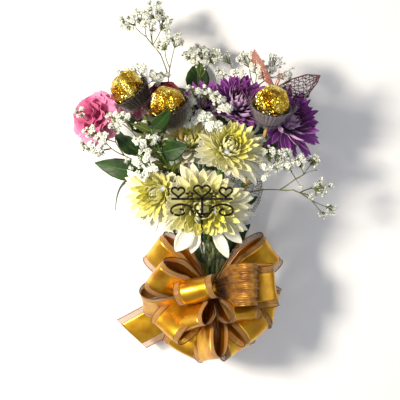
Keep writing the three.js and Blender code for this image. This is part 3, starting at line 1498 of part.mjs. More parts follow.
add("bloom_carnation_left", PINK, (g) => carnation("carnation_left", 16, 27, g));
add("bloom_carnation_back", PINK, (g) => carnation("carnation_back", 12, 28, g));
add("bloom_red_rose", RED, (g) => rose("red_rose", 29, g));
add("bow_band", GOLD, band);
add("bow", GOLD, bow);
add("bow_tail", GOLD, tail);
add("sleeve", CLEAR, sleeve);

// Tells whether two solids overlap, by their boxes first.
function meet(a, b) {
  const [p, q] = [a.boundingBox(), b.boundingBox()];
  return [0, 1, 2].every((k) => p.min[k] < q.max[k] && q.min[k] < p.max[k]) && a.intersect(b).volume() > 1e-3;
}

const largest = (solid) => solid.decompose().reduce((a, b) => (b.volume() > a.volume() ? b : a));

const TABLE = toSolid(new THREE.BoxGeometry(900, 900, 200).translate(0, 0, -100));

const bouquet = new THREE.Group();
bouquet.name = "bouquet";
const placed = [];
for (const { name, material, make } of pieces) {
  let solid = make(0);
  for (const other of placed)
    for (const cutter of [other.cutter, other.solid])
      if (meet(solid, cutter)) solid = solid.subtract(cutter);
  if (meet(solid, TABLE)) solid = solid.subtract(TABLE);
  solid = largest(solid);
  placed.push({ name, solid, cutter: make(CLEARANCE) });
  const mesh = new THREE.Mesh(toGeometry(solid), material);
  mesh.name = name;
  bouquet.add(mesh);
}

// The origin is on the table under the middle of the bouquet.
const box = new THREE.Box3().setFromObject(bouquet);
bouquet.position.set(-(box.min.x + box.max.x) / 2, -(box.min.y + box.max.y) / 2, -box.min.z);

export default bouquet;
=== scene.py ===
# %% [markdown]
# # A hand-tied bouquet, laid on its back
#
# The bouquet has ten large blooms, nine sprays of baby's breath, leaves, three foil-wrapped chocolates on
# sticks, a paper butterfly and a few picks, tied at the waist and dressed with a pull bow. The measured
# model says where everything is. This lesson dresses each of its nodes in finer mesh and in materials.

# %% Load the measured model
import math

import bmesh
import bpy
import numpy as np
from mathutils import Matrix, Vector, noise


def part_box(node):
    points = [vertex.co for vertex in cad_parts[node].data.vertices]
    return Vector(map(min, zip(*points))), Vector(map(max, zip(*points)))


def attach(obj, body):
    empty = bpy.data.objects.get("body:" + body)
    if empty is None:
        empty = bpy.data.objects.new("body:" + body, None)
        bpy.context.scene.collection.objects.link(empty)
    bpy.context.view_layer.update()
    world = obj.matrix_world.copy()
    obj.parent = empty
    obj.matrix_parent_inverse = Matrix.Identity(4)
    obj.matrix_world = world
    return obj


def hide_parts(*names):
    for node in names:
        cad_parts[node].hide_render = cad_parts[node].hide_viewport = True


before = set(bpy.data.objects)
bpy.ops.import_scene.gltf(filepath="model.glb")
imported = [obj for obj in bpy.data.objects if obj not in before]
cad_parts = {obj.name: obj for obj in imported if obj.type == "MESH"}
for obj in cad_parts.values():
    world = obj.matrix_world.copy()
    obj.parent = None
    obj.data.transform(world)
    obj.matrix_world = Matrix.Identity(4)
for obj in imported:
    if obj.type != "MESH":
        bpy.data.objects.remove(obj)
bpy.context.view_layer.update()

scene = bpy.context.scene
low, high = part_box("bow_band")
TIE = np.array([(low[0] + high[0]) / 2, (low[1] + high[1]) / 2, 0.0])
print("nodes", len(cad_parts), "tie at", TIE.round(4).tolist())

# %% [markdown]
# ## Small helpers
#
# Everything below is written in millimetres from the tie, with Y towards the flowers and Z up, and is
# turned into metres once, when a mesh is made. Random choices come from seeded generators, so every run
# gives the same bouquet.

# %% Vectors and seeded numbers
MM = 1000  # millimetres in a metre
GOLDEN_ANGLE = math.pi * (3 - math.sqrt(5))


def unit(v):
    v = np.asarray(v, float)
    return v / np.linalg.norm(v, axis=-1, keepdims=True)


def mix(a, b, t):
    return a + (b - a) * t


def across(axis):
    """Two directions square to an axis, and to each other."""
    helper = np.array([0, 1, 0]) if abs(axis[1]) < 0.9 else np.array([1, 0, 0])
    e1 = unit(np.cross(helper, axis))
    return e1, np.cross(axis, e1)


def turns(count):
    return np.arange(count) * 2 * math.pi / count


def circle(angles, e1, e2):
    return np.outer(np.cos(angles), e1) + np.outer(np.sin(angles), e2)


def along_line(line, places):
    """Points at given places, counted in steps, on a line of points."""
    line = np.array(line, float)
    return np.stack([np.interp(places, range(len(line)), column) for column in line.T], axis=-1)


def ranks(total):
    """Numbers pieces from the heart outwards, each with its share of the way."""
    return [(k, (k + 0.5) / total) for k in range(total)]


def seeded(seed):
    """The measured model's own random numbers, so that each floret stands where its solid does."""
    word, state = 0xFFFFFFFF, seed

    def draw():
        nonlocal state
        state = (state + 0x6D2B79F5) & word
        t = ((state ^ (state >> 15)) * (state | 1)) & word
        t ^= (t + (((t ^ (t >> 7)) * (t | 61)) & word)) & word
        return (t ^ (t >> 14)) / (word + 1)

    return draw


# %% Meshes
def stand(name, data):
    """A new object in the scene."""
    made = bpy.data.objects.new(name, data)
    scene.collection.objects.link(made)
    return made


def mark(mesh, key, values, kind="FLOAT"):
    """Writes a number or a vector on each point, for the materials and trees to read."""
    field = "vector" if kind == "FLOAT_VECTOR" else "value"
    mesh.attributes.new(key, kind, "POINT").data.foreach_set(field, np.ravel(values))


def mesh_of(name, points, edges=(), faces=()):
    mesh = bpy.data.meshes.new(name)
    mesh.from_pydata(np.asarray(points).tolist(), list(edges), list(faces))
    return mesh


class Gather:
    """Gathers points, faces and a few numbers for each point, then makes one object of them."""

    def __init__(self):
        self.points, self.faces, self.marks, self.count = [], [], {}, 0

    def add(self, points, faces, **marks):
        points = np.asarray(points, float).reshape(-1, 3)
        for key in {**self.marks, **marks}:
            column = self.marks.setdefault(key, [np.zeros(self.count)])
            column.append(np.broadcast_to(np.ravel(marks.get(key, 0.0)), len(points)))
        self.points.append(points)
        self.faces += [tuple(self.count + i for i in face) for face in faces]
        self.count += len(points)

    def make(self, name, smooth=True):
        points = np.vstack(self.points)
        mesh = mesh_of(name, points / MM + TIE, faces=self.faces)
        for key, column in self.marks.items():
            mark(mesh, key, np.concatenate(column))
        mark(mesh, "place", points, "FLOAT_VECTOR")
        mesh.polygons.foreach_set("use_smooth", [smooth] * len(mesh.polygons))
        return stand(name, mesh)


def lattice(rows, columns, wrap=False):
    """Quads over a grid of rows and columns of points. A wrapped grid closes on its first column."""
    faces = []
    for i in range(rows - 1):
        for j in range(columns if wrap else columns - 1):
            a, b = i * columns + j, i * columns + (j + 1) % columns
            faces.append((a, b, b + columns, a + columns))
    return faces


def capped(rings):
    """Points and faces of a stack of rings, closed at both ends."""
    rows, columns = len(rings), len(rings[0])
    ends = [tuple(reversed(range(columns))), tuple(range((rows - 1) * columns, rows * columns))]
    return np.vstack(rings), lattice(rows, columns, wrap=True) + ends


def shell(outer, inner):
    """Points and faces of a wall between two grids that both close round: a sleeve or a band."""
    rows, columns = 2 * len(outer), outer.shape[1]
    last = (rows - 1) * columns
    faces = [(b, a, a + last, b + last) for a, b in zip(range(columns), [*range(1, columns), 0])]
    return np.concatenate([outer, inner[::-1]]), lattice(rows, columns, wrap=True) + faces


def tube(path, radii, sides=8):
    """Points and faces of a round bar that follows a path."""
    path = np.asarray(path, float)
    along = unit(np.gradient(path, axis=0))
    side = across(along[0])[0]
    rings = []
    for point, way, radius in zip(path, along, np.broadcast_to(radii, len(path))):
        side = unit(side - way * side.dot(way))
        rings.append(point + radius * circle(turns(sides), side, np.cross(way, side)))
    return capped(rings)


def slab(grid, thickness):
    """A closed thin sheet over a grid of points. The last result is 1 on its underside."""
    grid = np.asarray(grid, float)
    rows, columns = grid.shape[:2]
    normal = unit(np.cross(np.gradient(grid, axis=0), np.gradient(grid, axis=1)))
    top, bottom = grid + normal * thickness / 2, grid - normal * thickness / 2
    half = rows * columns
    faces = lattice(rows, columns)
    faces = [tuple(reversed(f)) for f in faces] + [tuple(half + i for i in f) for f in faces]
    rim = [(0, j) for j in range(columns)] + [(i, columns - 1) for i in range(1, rows)]
    rim += [(rows - 1, j) for j in range(columns - 2, -1, -1)] + [(i, 0) for i in range(rows - 2, 0, -1)]
    rim = [i * columns + j for i, j in rim]
    faces += [(a, b, half + b, half + a) for a, b in zip(rim, rim[1:] + rim[:1])]
    return np.concatenate([top.reshape(-1, 3), bottom.reshape(-1, 3)]), faces, np.repeat([0.0, 1.0], half)


def dress(made, material, node):
    """Gives a finished piece its material, hangs it on the root body, and hides the node it stands for."""
    made.data.materials.clear()
    made.data.materials.append(material)
    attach(made, "root")
    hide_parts(node)
    made.data.calc_loop_triangles()
    print(made.name, "triangles", len(made.data.loop_triangles))


def piece(name, shape, material, slot, node, smooth=True, **marks):
    """A finished piece from one set of points and faces."""
    gather = Gather()
    gather.add(*shape, **marks)
    dress(gather.make(name, smooth), material, node)


# %% Colours, nodes and materials
MARKS = ("rank", "chance", "along", "across", "under", "place", "white", "share", "round", "up", "rim")
COLOURS = {"data_type": "RGBA"}
SMOOTH_STEP = {"interpolation_type": "SMOOTHSTEP"}


def colour(hexadecimal):
    """A colour as a paint chart gives it, such as f3efc4, turned to the linear values that light needs."""
    parts = [int(hexadecimal[k : k + 2], 16) / 255 for k in (0, 2, 4)]
    return [c / 12.92 if c <= 0.04045 else ((c + 0.055) / 1.055) ** 2.4 for c in parts] + [1.0]


def add(tree, kind, inputs=(), stops=(), **settings):
    """Adds a node with its settings, and sets or links its inputs. A colour ramp also gets its stops.

    A short kind, such as Mix, is a shader node's.
    """
    node = tree.nodes.new(kind if "Node" in kind else "ShaderNode" + kind)
    for key, value in settings.items():
        setattr(node, key, value)
    for k, (place, shade) in enumerate(stops):
        marks = node.color_ramp.elements
        stop = marks[k] if k < len(marks) else marks.new(place)
        stop.position, stop.color = place, colour(shade)
    for key, value in dict(inputs).items():
        if isinstance(value, bpy.types.NodeSocket):
            tree.links.new(value, node.inputs[key])
        else:
            node.inputs[key].default_value = value
    return node


def pairs(inputs):
    return inputs.items() if isinstance(inputs, dict) else enumerate(inputs)


def wire(tree, known, steps):
    """Adds a node for each step, which is a name, a kind, the inputs and the settings, if there are any.

    An input given as text is linked to the step or mark of that name. A kind in capitals is a sum.
    """
    for name, kind, inputs, *settings in steps:
        settings = dict(*settings)
        if kind.isupper():
            kind, settings["operation"] = "Math", kind
        linked = [(key, known[value] if isinstance(value, str) else value) for key, value in pairs(inputs)]
        outputs = add(tree, kind, linked, **settings).outputs
        known.update({f"{name} {output.name}": output for output in outputs})
        known[name] = next((output for output in outputs if output.enabled), None)


def material(name, steps=(), **values):
    """A new material. Its main shader's inputs are set to the values, or linked to the steps they name."""
    made = bpy.data.materials.new(name)
    made.use_nodes = True
    tree = made.node_tree
    read = [value for step in steps for _, value in pairs(step[2])]
    known = {}
    for key in MARKS:
        if key in read:
            outputs = add(tree, "Attribute", attribute_name=key).outputs
            known[key] = outputs["Vector" if key == "place" else "Fac"]
    wire(tree, known, steps)
    for key, value in values.items():
        socket = tree.nodes["Principled BSDF"].inputs[key.replace("_", " ")]
        if isinstance(value, str):
            tree.links.new(known[value], socket)
        else:
            socket.default_value = value
    return made


def clouds(scale, detail, *stops, by="place"):
    """Steps for soft patches of two or more shades: a noise, and a ramp that is called shades.

    The scale is the number of patches in a millimetre of `place`, so 0.09 makes patches of about 11 mm.
    """
    return [
        ("clouds", "TexNoise", {"Vector": by, "Scale": scale, "Detail": detail}),
        ("shades", "ValToRGB", ["clouds"], {"stops": stops}),
    ]


# %% Geometry trees
def group(name, sockets, marks):
    """A new geometry tree, with everything its steps can be linked to: its inputs and the points' marks."""
    tree = bpy.data.node_groups.new(name, "GeometryNodeTree")
    for key, kind in {"Geometry": "Geometry", **sockets}.items():
        tree.interface.new_socket(key, in_out="INPUT", socket_type="NodeSocket" + kind)
    tree.interface.new_socket("Geometry", in_out="OUTPUT", socket_type="NodeSocketGeometry")
    known = {output.name: output for output in add(tree, "NodeGroupInput").outputs}
    for key, kind in marks.items():
        kept = add(tree, "GeometryNodeInputNamedAttribute", {"Name": key}, data_type=kind)
        known[key] = kept.outputs["Attribute"]
    return tree, known


def grow(name, mesh, tree, **inputs):
    """Runs a tree over a mesh, and returns the plain object that it leaves."""
    made = stand(name, mesh)
    modifier = made.modifiers.new("tree", "NODES")
    modifier.node_group = tree
    for item in tree.interface.items_tree:
        if item.name in inputs:
            modifier[item.identifier] = inputs[item.name]
    plain = bpy.data.meshes.new_from_object(made.evaluated_get(bpy.context.evaluated_depsgraph_get()))
    made.modifiers.clear()
    made.data = plain
    return made


# %% [markdown]
# ## Camera, light and floor
#
# The bouquet lies on a pale table and is seen from straight above, from about 0.8 m. A small bright lamp at
# the upper left does what the sun did, and the pale room fills the shadows.

# %% Camera, lamps and table
EYE = (-9.2, 82.8, 870)
VIEW_WIDTH, VIEW_DEPTH = 368, 800  # what the frame takes in, and how far below the eye
SENSOR = 36
LAMPS_AIM = (0, 90, 60)
ROOM_LIGHT = 0.3
TABLE_HALF = 3000

camera = stand("camera", bpy.data.cameras.new("camera"))
camera.location = np.array(EYE) / MM + TIE
camera.data.sensor_width = SENSOR
camera.data.lens = SENSOR * VIEW_DEPTH / VIEW_WIDTH
scene.camera = camera

for name, place, size, power, tint in [  # size in metres, power in watts
    ("sun lamp", (-640, 200, 850), 0.2, 15, "fff6e6"),
    ("window", (300, -200, 1100), 1.2, 4, "eaf1ff"),
]:
    lamp = stand(name, bpy.data.lights.new(name, "AREA"))
    lamp.data.size, lamp.data.energy, lamp.data.color = size, power, colour(tint)[:3]
    lamp.location = np.array(place) / MM + TIE
    aim = Vector(TIE + np.array(LAMPS_AIM) / MM) - lamp.location
    lamp.rotation_euler = aim.to_track_quat("-Z", "Y").to_euler()

world = bpy.data.worlds.new("pale room")
world.use_nodes = True
world.node_tree.nodes["Background"].inputs["Color"].default_value = colour("efeeec")
world.node_tree.nodes["Background"].inputs["Strength"].default_value = ROOM_LIGHT
scene.world = world
scene.view_settings.view_transform = "Standard"

table = Gather()
table.add([(x * TABLE_HALF, y * TABLE_HALF, 0) for x, y in ((-1, -1), (1, -1), (1, 1), (-1, 1))], [range(4)])
floor = table.make("table top")
floor.data.materials.append(material("white laminate", Base_Color=colour("f7f7f8"), Roughness=0.6))

# %% [markdown]
# ## Petals
#
# Every petal is the same flat template, bent along its own arc. A Geometry Nodes tree puts one template for
# each point, and reads from the point where the petal starts, which way it heads, how long and wide it is
# and how it curls, cups, twists and ruffles. One tree so serves chrysanthemums, carnations and the rose.

# %% The tree that bends petals
PETAL_VECTORS = ("base", "heading", "inner", "side")
PETAL_NUMBERS = ("reach", "half", "curl", "cup", "twist", "ruffle", "phase")
PETAL_TREE, known = group(
    "petals bent along arcs",
    {"Template": "Object", "Ruffles": "Float", "Finish": "Material"},
    dict.fromkeys(PETAL_VECTORS, "FLOAT_VECTOR") | dict.fromkeys(PETAL_NUMBERS, "FLOAT"),
)
wire(PETAL_TREE, known, [
    ("shape", "GeometryNodeObjectInfo", {"Object": "Template"}),
    ("spread", "GeometryNodeInstanceOnPoints", {"Points": "Geometry", "Instance": "shape Geometry"}),
    ("petals", "GeometryNodeRealizeInstances", ["spread"]),
    ("spot", "GeometryNodeInputPosition", []),
    ("flat", "SeparateXYZ", ["spot"]),
    ("bend", "MULTIPLY", ["curl", "flat Y"]),
    ("sine", "SINE", ["bend"]),
    ("cosine", "COSINE", ["bend"]),
    ("radius", "DIVIDE", ["reach", "curl"]),
    ("ahead", "MULTIPLY", ["radius", "sine"]),
    ("drop", "SUBTRACT", [1.0, "cosine"]),
    ("rise", "MULTIPLY", ["radius", "drop"]),
    ("wave place", "MULTIPLY_ADD", ["flat X", "Ruffles", "phase"]),
    ("wave", "SINE", ["wave place"]),
    ("wave depth", "MULTIPLY", ["wave", "ruffle"]),
    ("far", "MULTIPLY", ["flat Y", "flat Y"]),
    ("ruffled", "MULTIPLY", ["wave depth", "far"]),
    ("wide", "MULTIPLY", ["flat X", "flat X"]),
    ("hollow", "MULTIPLY_ADD", ["wide", "cup", "ruffled"]),
    ("turn", "MULTIPLY", ["twist", "flat Y"]),
    ("turn sine", "SINE", ["turn"]),
    ("turn cosine", "COSINE", ["turn"]),
    ("sideways", "MULTIPLY", ["flat X", "turn cosine"]),
    ("taken", "MULTIPLY", ["hollow", "turn sine"]),
    ("sideways left", "SUBTRACT", ["sideways", "taken"]),
    ("by side", "MULTIPLY", ["sideways left", "half"]),
    ("lifted", "MULTIPLY", ["flat X", "turn sine"]),
    ("upwards", "MULTIPLY_ADD", ["hollow", "turn cosine", "lifted"]),
    ("up", "MULTIPLY_ADD", ["upwards", "half", "flat Z"]),
    ("leaning back", "MULTIPLY", ["up", "sine"]),
    ("by heading", "SUBTRACT", ["ahead", "leaning back"]),
    ("by inner", "MULTIPLY_ADD", ["up", "cosine", "rise"]),
    ("heading part", "VectorMath", {0: "heading", "Scale": "by heading"}, {"operation": "SCALE"}),
    ("to heading", "VectorMath", ["base", "heading part"], {"operation": "ADD"}),
    ("inner part", "VectorMath", {0: "inner", "Scale": "by inner"}, {"operation": "SCALE"}),
    ("to inner", "VectorMath", ["to heading", "inner part"], {"operation": "ADD"}),
    ("side part", "VectorMath", {0: "side", "Scale": "by side"}, {"operation": "SCALE"}),
    ("to side", "VectorMath", ["to inner", "side part"], {"operation": "ADD"}),
    ("bent", "GeometryNodeSetPosition", {"Geometry": "petals", "Position": "to side"}),
    ("smooth", "GeometryNodeSetShadeSmooth", {"Geometry": "bent"}),
    ("painted", "GeometryNodeSetMaterial", {"Geometry": "smooth", "Material": "Finish"}),
    ("end", "NodeGroupOutput", ["painted"]),
])
print("petal tree", len(PETAL_TREE.nodes), "nodes")


# %% Flat templates
def template(name, outline, columns, teeth=0.0, droop=0.0, thickness=0.35):
    """A flat petal one unit long and two wide. `outline` gives its half width at steps along it."""
    v, w = (np.array(column)[:, None] for column in zip(*outline))
    u = np.linspace(-1, 1, columns)
    tooth = teeth * (np.arange(columns) % 2)[None, :] * (v > 0.9)
    y = v * (1 - droop * u**2) - tooth
    points, faces, under = slab(np.stack([w * u + 0 * v, y, 0 * v * u], axis=-1), 1.0)
    points[:, 2] *= thickness / MM
    mesh = mesh_of(name, points, faces=faces)
    mark(mesh, "across", [u + 0 * v] * 2)
    mark(mesh, "along", [v + 0 * u] * 2)
    mark(mesh, "under", 1 - under)
    return bpy.data.objects.new(name, mesh)


SPOON = template(
    "spoon petal",
    [(0, 0.36), (0.15, 0.48), (0.32, 0.7), (0.5, 0.93), (0.64, 1), (0.77, 0.84), (0.88, 0.56), (0.95, 0.3),
     (1, 0.05)],
    7,
)
FAN = template(
    "fan petal",
    [(0, 0.1), (0.2, 0.2), (0.4, 0.45), (0.58, 0.72), (0.72, 0.9), (0.84, 0.98), (0.93, 1), (1, 0.98)],
    19,
    teeth=0.035,
    droop=0.16,
)
SHELL = template(
    "shell petal",
    [(0, 0.3), (0.15, 0.58), (0.32, 0.82), (0.5, 0.96), (0.68, 1), (0.82, 0.92), (0.92, 0.7), (1, 0.3)],
    11,
    thickness=0.5,
)

# %% [markdown]
# ## Where the blooms stand
#
# Each bloom has a centre, a way it faces and a reach. Planes between neighbours keep their petals apart: a
# petal that would cross one is lifted, shortened, or left out.

# %% Blooms and the planes between them
BLOOMS = {
    "cream_front": ([-6.5, 77.5, 104], [0.02, -0.22, 0.97], 42, 24),
    "cream_left": ([-44.5, 90, 88], [-0.42, -0.12, 0.9], 33, 2),
    "cream_right": ([15, 126.5, 98], [0.22, 0.38, 0.9], 34, 23),
    "cream_back": ([-19, 132.5, 84], [-0.15, 0.5, 0.85], 27, 7),
    "purple_middle": ([-5.5, 167, 70], [-0.05, 0.55, 0.83], 27, 16),
    "purple_upper": ([24.5, 166.5, 80], [0.2, 0.5, 0.84], 33, 17),
    "purple_right": ([68.5, 153, 68], [0.55, 0.25, 0.8], 34, 19),
    "carnation_left": ([-101, 156.5, 76], [-0.5, 0.25, 0.83], 27, 28),
    "carnation_back": ([-70, 174, 44], [-0.25, 0.5, 0.83], 22, 30),
    "red_rose": ([-41.5, 171.5, 64], [-0.1, 0.55, 0.83], 21, 12),
}  # centre, facing, reach, place of the stem in the tied bundle
BLOOMS = {name: (np.array(c, float), unit(f), r, slot) for name, (c, f, r, slot) in BLOOMS.items()}
CORE_DEPTH = {"cream": 0.22, "purple": 0.22, "carnation": 0.4, "red": 0.5}  # of the reach
CORE_BOTTOM = 0.92
# What is tried in turn to fit a petal in: a share of its length, and degrees of more curl.
FITS = [(1, 0), (0.95, 14), (0.86, -12), (0.86, 0), (0.9, 25), (0.75, 40), (0.6, 30), (0.5, 60)]
HELD_AT = [(0.4, 1), (0.75, 1), (1, 0.4)]  # where a petal is held against the planes, and its width there
CLEARANCE = 0.3
STRAIGHT = 0.03  # the least curl, in radians, that an arc can have
HEART_LEVELS = (-CORE_BOTTOM, -0.6, -0.2, 0.2, 0.6, 0.9)
OPEN_SIDES = {  # where petals stay short: the film shows below one bloom, the leaves above another
    "cream_front": ((0, -1, 0), -51),
    "cream_left": ((0, 1, 0), 109),
}


def core_depth(bloom):
    return BLOOMS[bloom][2] * CORE_DEPTH[bloom.split("_")[0]]


def planes_of(name):
    centre, _, reach, _ = BLOOMS[name]
    planes = [(np.array(OPEN_SIDES[name][0]), OPEN_SIDES[name][1])] if name in OPEN_SIDES else []
    for other, (there, _, far, _) in BLOOMS.items():
        gap = np.linalg.norm(there - centre)
        if other != name and gap <= reach + far:
            towards = unit(there - centre)
            planes.append((towards, towards.dot(centre + towards * gap * reach / (reach + far)) - CLEARANCE))
    return planes


def petal(bloom, turn, polar, start, reach, half, curl, rank, chance, planes=(), **shape):
    """One petal: which way it leaves the heart, and how it curls, in degrees. None if it can't fit."""
    centre, axis = BLOOMS[bloom][:2]
    e1, e2 = across(axis)
    polar, curl = math.radians(polar), math.radians(curl)
    outward = e1 * math.cos(turn) + e2 * math.sin(turn)
    heading = outward * math.sin(polar) + axis * math.cos(polar)
    inner = axis * math.sin(polar) - outward * math.cos(polar)
    side = np.cross(heading, inner)
    for share, lift in FITS:
        bend = curl + math.radians(lift)
        bend = bend if abs(bend) > STRAIGHT else STRAIGHT
        radius = reach * share / bend
        ends = []
        for t, width in HELD_AT:
            way = heading * math.sin(bend * t) + inner * (1 - math.cos(bend * t))
            middle = centre + heading * start + way * radius
            ends += [middle + side * half * u * width for u in (-1, 0, 1)]
        if all(towards.dot(p) < limit for p in ends for towards, limit in planes):
            place = {"base": centre + heading * start, "heading": heading, "inner": inner, "side": side}
            numbers = {"reach": reach * share, "half": half, "curl": bend, "rank": rank, "chance": chance}
            return place | numbers | {"cup": 0.4, "twist": 0.0, "ruffle": 0.0, "phase": 0.0} | shape
    return None


def flower(bloom, petals, shape, ruffles, skin, slot, width):
    """A bloom in two pieces: its petals, and the flattened ball in the middle that they grow from."""
    petals = [p for p in petals if p]
    centre, axis, reach, _ = BLOOMS[bloom]
    mesh = mesh_of(bloom, [(0, 0, 0)] * len(petals))
    for key in PETAL_VECTORS:
        column = np.array([p[key] for p in petals])
        mark(mesh, key, column / MM + TIE if key == "base" else column, "FLOAT_VECTOR")
    for key in PETAL_NUMBERS + ("rank", "chance"):
        scale = 1 / MM if key in ("reach", "half") else 1
        mark(mesh, key, np.array([p[key] for p in petals]) * scale)
    made = grow(bloom + "_petals", mesh, PETAL_TREE, Template=shape, Ruffles=ruffles, Finish=skin)
    for key in PETAL_VECTORS + PETAL_NUMBERS:
        if key in made.data.attributes:
            made.data.attributes.remove(made.data.attributes[key])
    dress(made, skin, "bloom_" + bloom)

    ring = circle(turns(20), *across(axis))
    heart = [
        centre + axis * core_depth(bloom) * level + ring * (reach * width) * math.sqrt(1 - level**2)
        for level in HEART_LEVELS
    ]
    piece(bloom + "_heart", capped(heart), skin, slot, "bloom_" + bloom, rank=0, along=0.1)


# %% [markdown]
# ## Chrysanthemums
#
# A chrysanthemum's petals follow the golden angle. In the middle they are short, yellow and curl in over
# the heart; at the edge they are long spoons that spread and bend back. Cream ones pass from butter yellow
# through ivory to nearly white. Purple ones are violet above and lilac below, where the skin is paler.

# %% Petal materials
# The veins of a real petal stand about half a millimetre apart, too fine to show here. They are drawn
# coarser: `veins` / 3.14 of them across a petal, so 7 on a chrysanthemum's, 15 on a carnation's and 5 on a
# rose's, which is 1 to 4 mm apart on the large petals.
def petal_skin(name, heart_to_edge, base, under, under_share, veins):
    """A petal's skin: soft, slightly waxy, with fine veins from base to tip. Towards its base it takes the
    colour `base`: the petal's own base tone, darkened with painted shade where the petals crowd deep in the
    bloom.
    """
    return material(name, [
        ("by rank", "ValToRGB", ["rank"], {"stops": heart_to_edge}),
        # Each petal's lower part takes the base colour: painted shade deep in the bloom, over the petal's
        # own base tone.
        ("low down", "MapRange", ["along", 0.0, 0.42, 0.85, 0.0]),
        ("with base", "Mix", {0: "low down", 6: "by rank", 7: colour(base)}, COLOURS),
        ("below", "MULTIPLY", ["under", under_share]),
        ("with back", "Mix", {0: "below", 6: "with base", 7: colour(under)}, COLOURS),
        ("light", "MapRange", ["chance", 0.0, 1.0, 0.82, 1.1]),
        ("skin", "HueSaturation", {"Color": "with back", "Value": "light"}),
        ("lines", "MULTIPLY", ["across", veins]),
        ("veins", "SINE", ["lines"]),
        ("relief", "Bump", {"Height": "veins", "Strength": 0.35, "Distance": 0.0004}),
    ], Base_Color="skin", Normal="relief", Roughness=0.55, Specular_IOR_Level=0.3, Sheen_Weight=0.15)


CREAM = petal_skin(
    "chrysanthemum petal, ivory",
    [(0, "bcc024"), (0.1, "e6de34"), (0.3, "f0e866"), (0.5, "f4eea4"), (0.74, "f6f3d6"), (1, "f5f2e4")],
    "d2cf5e", "f1f0e2", 0.6, 22,
)
# Violet petals are darkest, near black, at the heart and at each petal's base: painted shade deep in the
# bloom, over the violet.
PURPLE = petal_skin(
    "chrysanthemum petal, violet",
    [(0, "4c1038"), (0.3, "691a70"), (0.65, "8e3898"), (1, "a04cae")],
    "3a0c40", "ddb4dc", 0.85, 22,
)

# %% Chrysanthemum petals
LOOKS = {  # from the heart to the edge: angle, then length and half width as shares of the reach, and curl
    "cream": ((10, 104), (0.3, 0.92), (0.05, 0.115), (66, -8)),
    "purple": ((12, 98), (0.32, 0.92), (0.05, 0.11), (50, 2)),
}
PETALS = {
    "cream_front": 176, "cream_left": 128, "cream_right": 146, "cream_back": 104,
    "purple_middle": 90, "purple_upper": 116, "purple_right": 120,
}
LONG_PETALS = {  # a few that hang out or stand up at the edge: turn, angle, length, half width, curl
    "cream_front": [
        (-122, 74, 0.86, 0.19, -12), (-104, 78, 0.78, 0.13, -12),
        (-64, 80, 0.98, 0.13, -12), (-44, 84, 0.9, 0.13, -12),
    ],
    "cream_left": [(-140, 84, 0.98, 0.13, -12), (150, 86, 0.98, 0.12, -12), (-105, 84, 0.98, 0.13, -12)],
    "cream_right": [(60, 86, 0.98, 0.12, -12), (-20, 84, 1.0, 0.13, -12)],
    "cream_back": [
        (-145, 66, 1.0, 0.16, 10), (-85, 60, 1.0, 0.17, 14), (-30, 64, 1.0, 0.16, 10),
        (35, 60, 1.0, 0.17, 14), (90, 66, 1.0, 0.16, 10), (150, 60, 1.0, 0.17, 14),
        (-115, 34, 0.8, 0.15, 20), (60, 36, 0.8, 0.15, 20),
    ],
    "purple_middle": [(-100, 70, 0.85, 0.13, 52), (-60, 72, 0.8, 0.13, 58)],
    "purple_upper": [(-128, 70, 0.9, 0.13, 52), (-88, 66, 0.85, 0.13, 60), (-50, 74, 0.9, 0.12, 48)],
    "purple_right": [
        (-25, 84, 1.0, 0.12, -12), (5, 84, 1.0, 0.11, -12), (-60, 84, 0.98, 0.12, -12),
        (40, 84, 0.98, 0.11, -12), (-100, 62, 0.85, 0.14, 50), (-150, 70, 0.9, 0.13, 55),
        (-40, 60, 0.8, 0.13, 50),
    ],
}
START = 0.26  # of the reach: where the petals leave the heart
LONG_LOOK = {"rank": 0.86, "chance": 0.8, "cup": 0.5, "twist": 0.15}
for seed, (bloom, total) in enumerate(PETALS.items()):
    rng = np.random.default_rng(seed + 1)
    reach = BLOOMS[bloom][2]
    planes = planes_of(bloom)
    kind = bloom.split("_")[0]
    angle, length, width, curl = LOOKS[kind]
    petals = [
        petal(
            bloom,
            turn=k * GOLDEN_ANGLE + rng.uniform(-0.12, 0.12),
            polar=mix(*angle, rank**0.75) + rng.uniform(-5, 5),
            start=reach * START,
            reach=reach * mix(*length, rank**0.8) * rng.uniform(0.9, 1.08),
            half=reach * mix(*width, rank**0.7) * rng.uniform(0.85, 1.1),
            curl=mix(*curl, rank) + rng.uniform(-14, 14),
            rank=rank,
            chance=rng.uniform(),
            planes=planes,
            cup=rng.uniform(0.45, 0.8) - 0.25 * rank,
            twist=rng.uniform(-0.35, 0.35),
        )
        for k, rank in ranks(total)
    ]
    for turn, polar, length, half, curl in LONG_PETALS[bloom]:
        sizes = reach * START, reach * length, reach * half
        petals.append(petal(bloom, math.radians(turn), polar, *sizes, curl, **LONG_LOOK))
    skin = {"cream": CREAM, "purple": PURPLE}[kind]
    flower(bloom, petals, SPOON, 0.0, skin, kind + "_petal", 0.29)
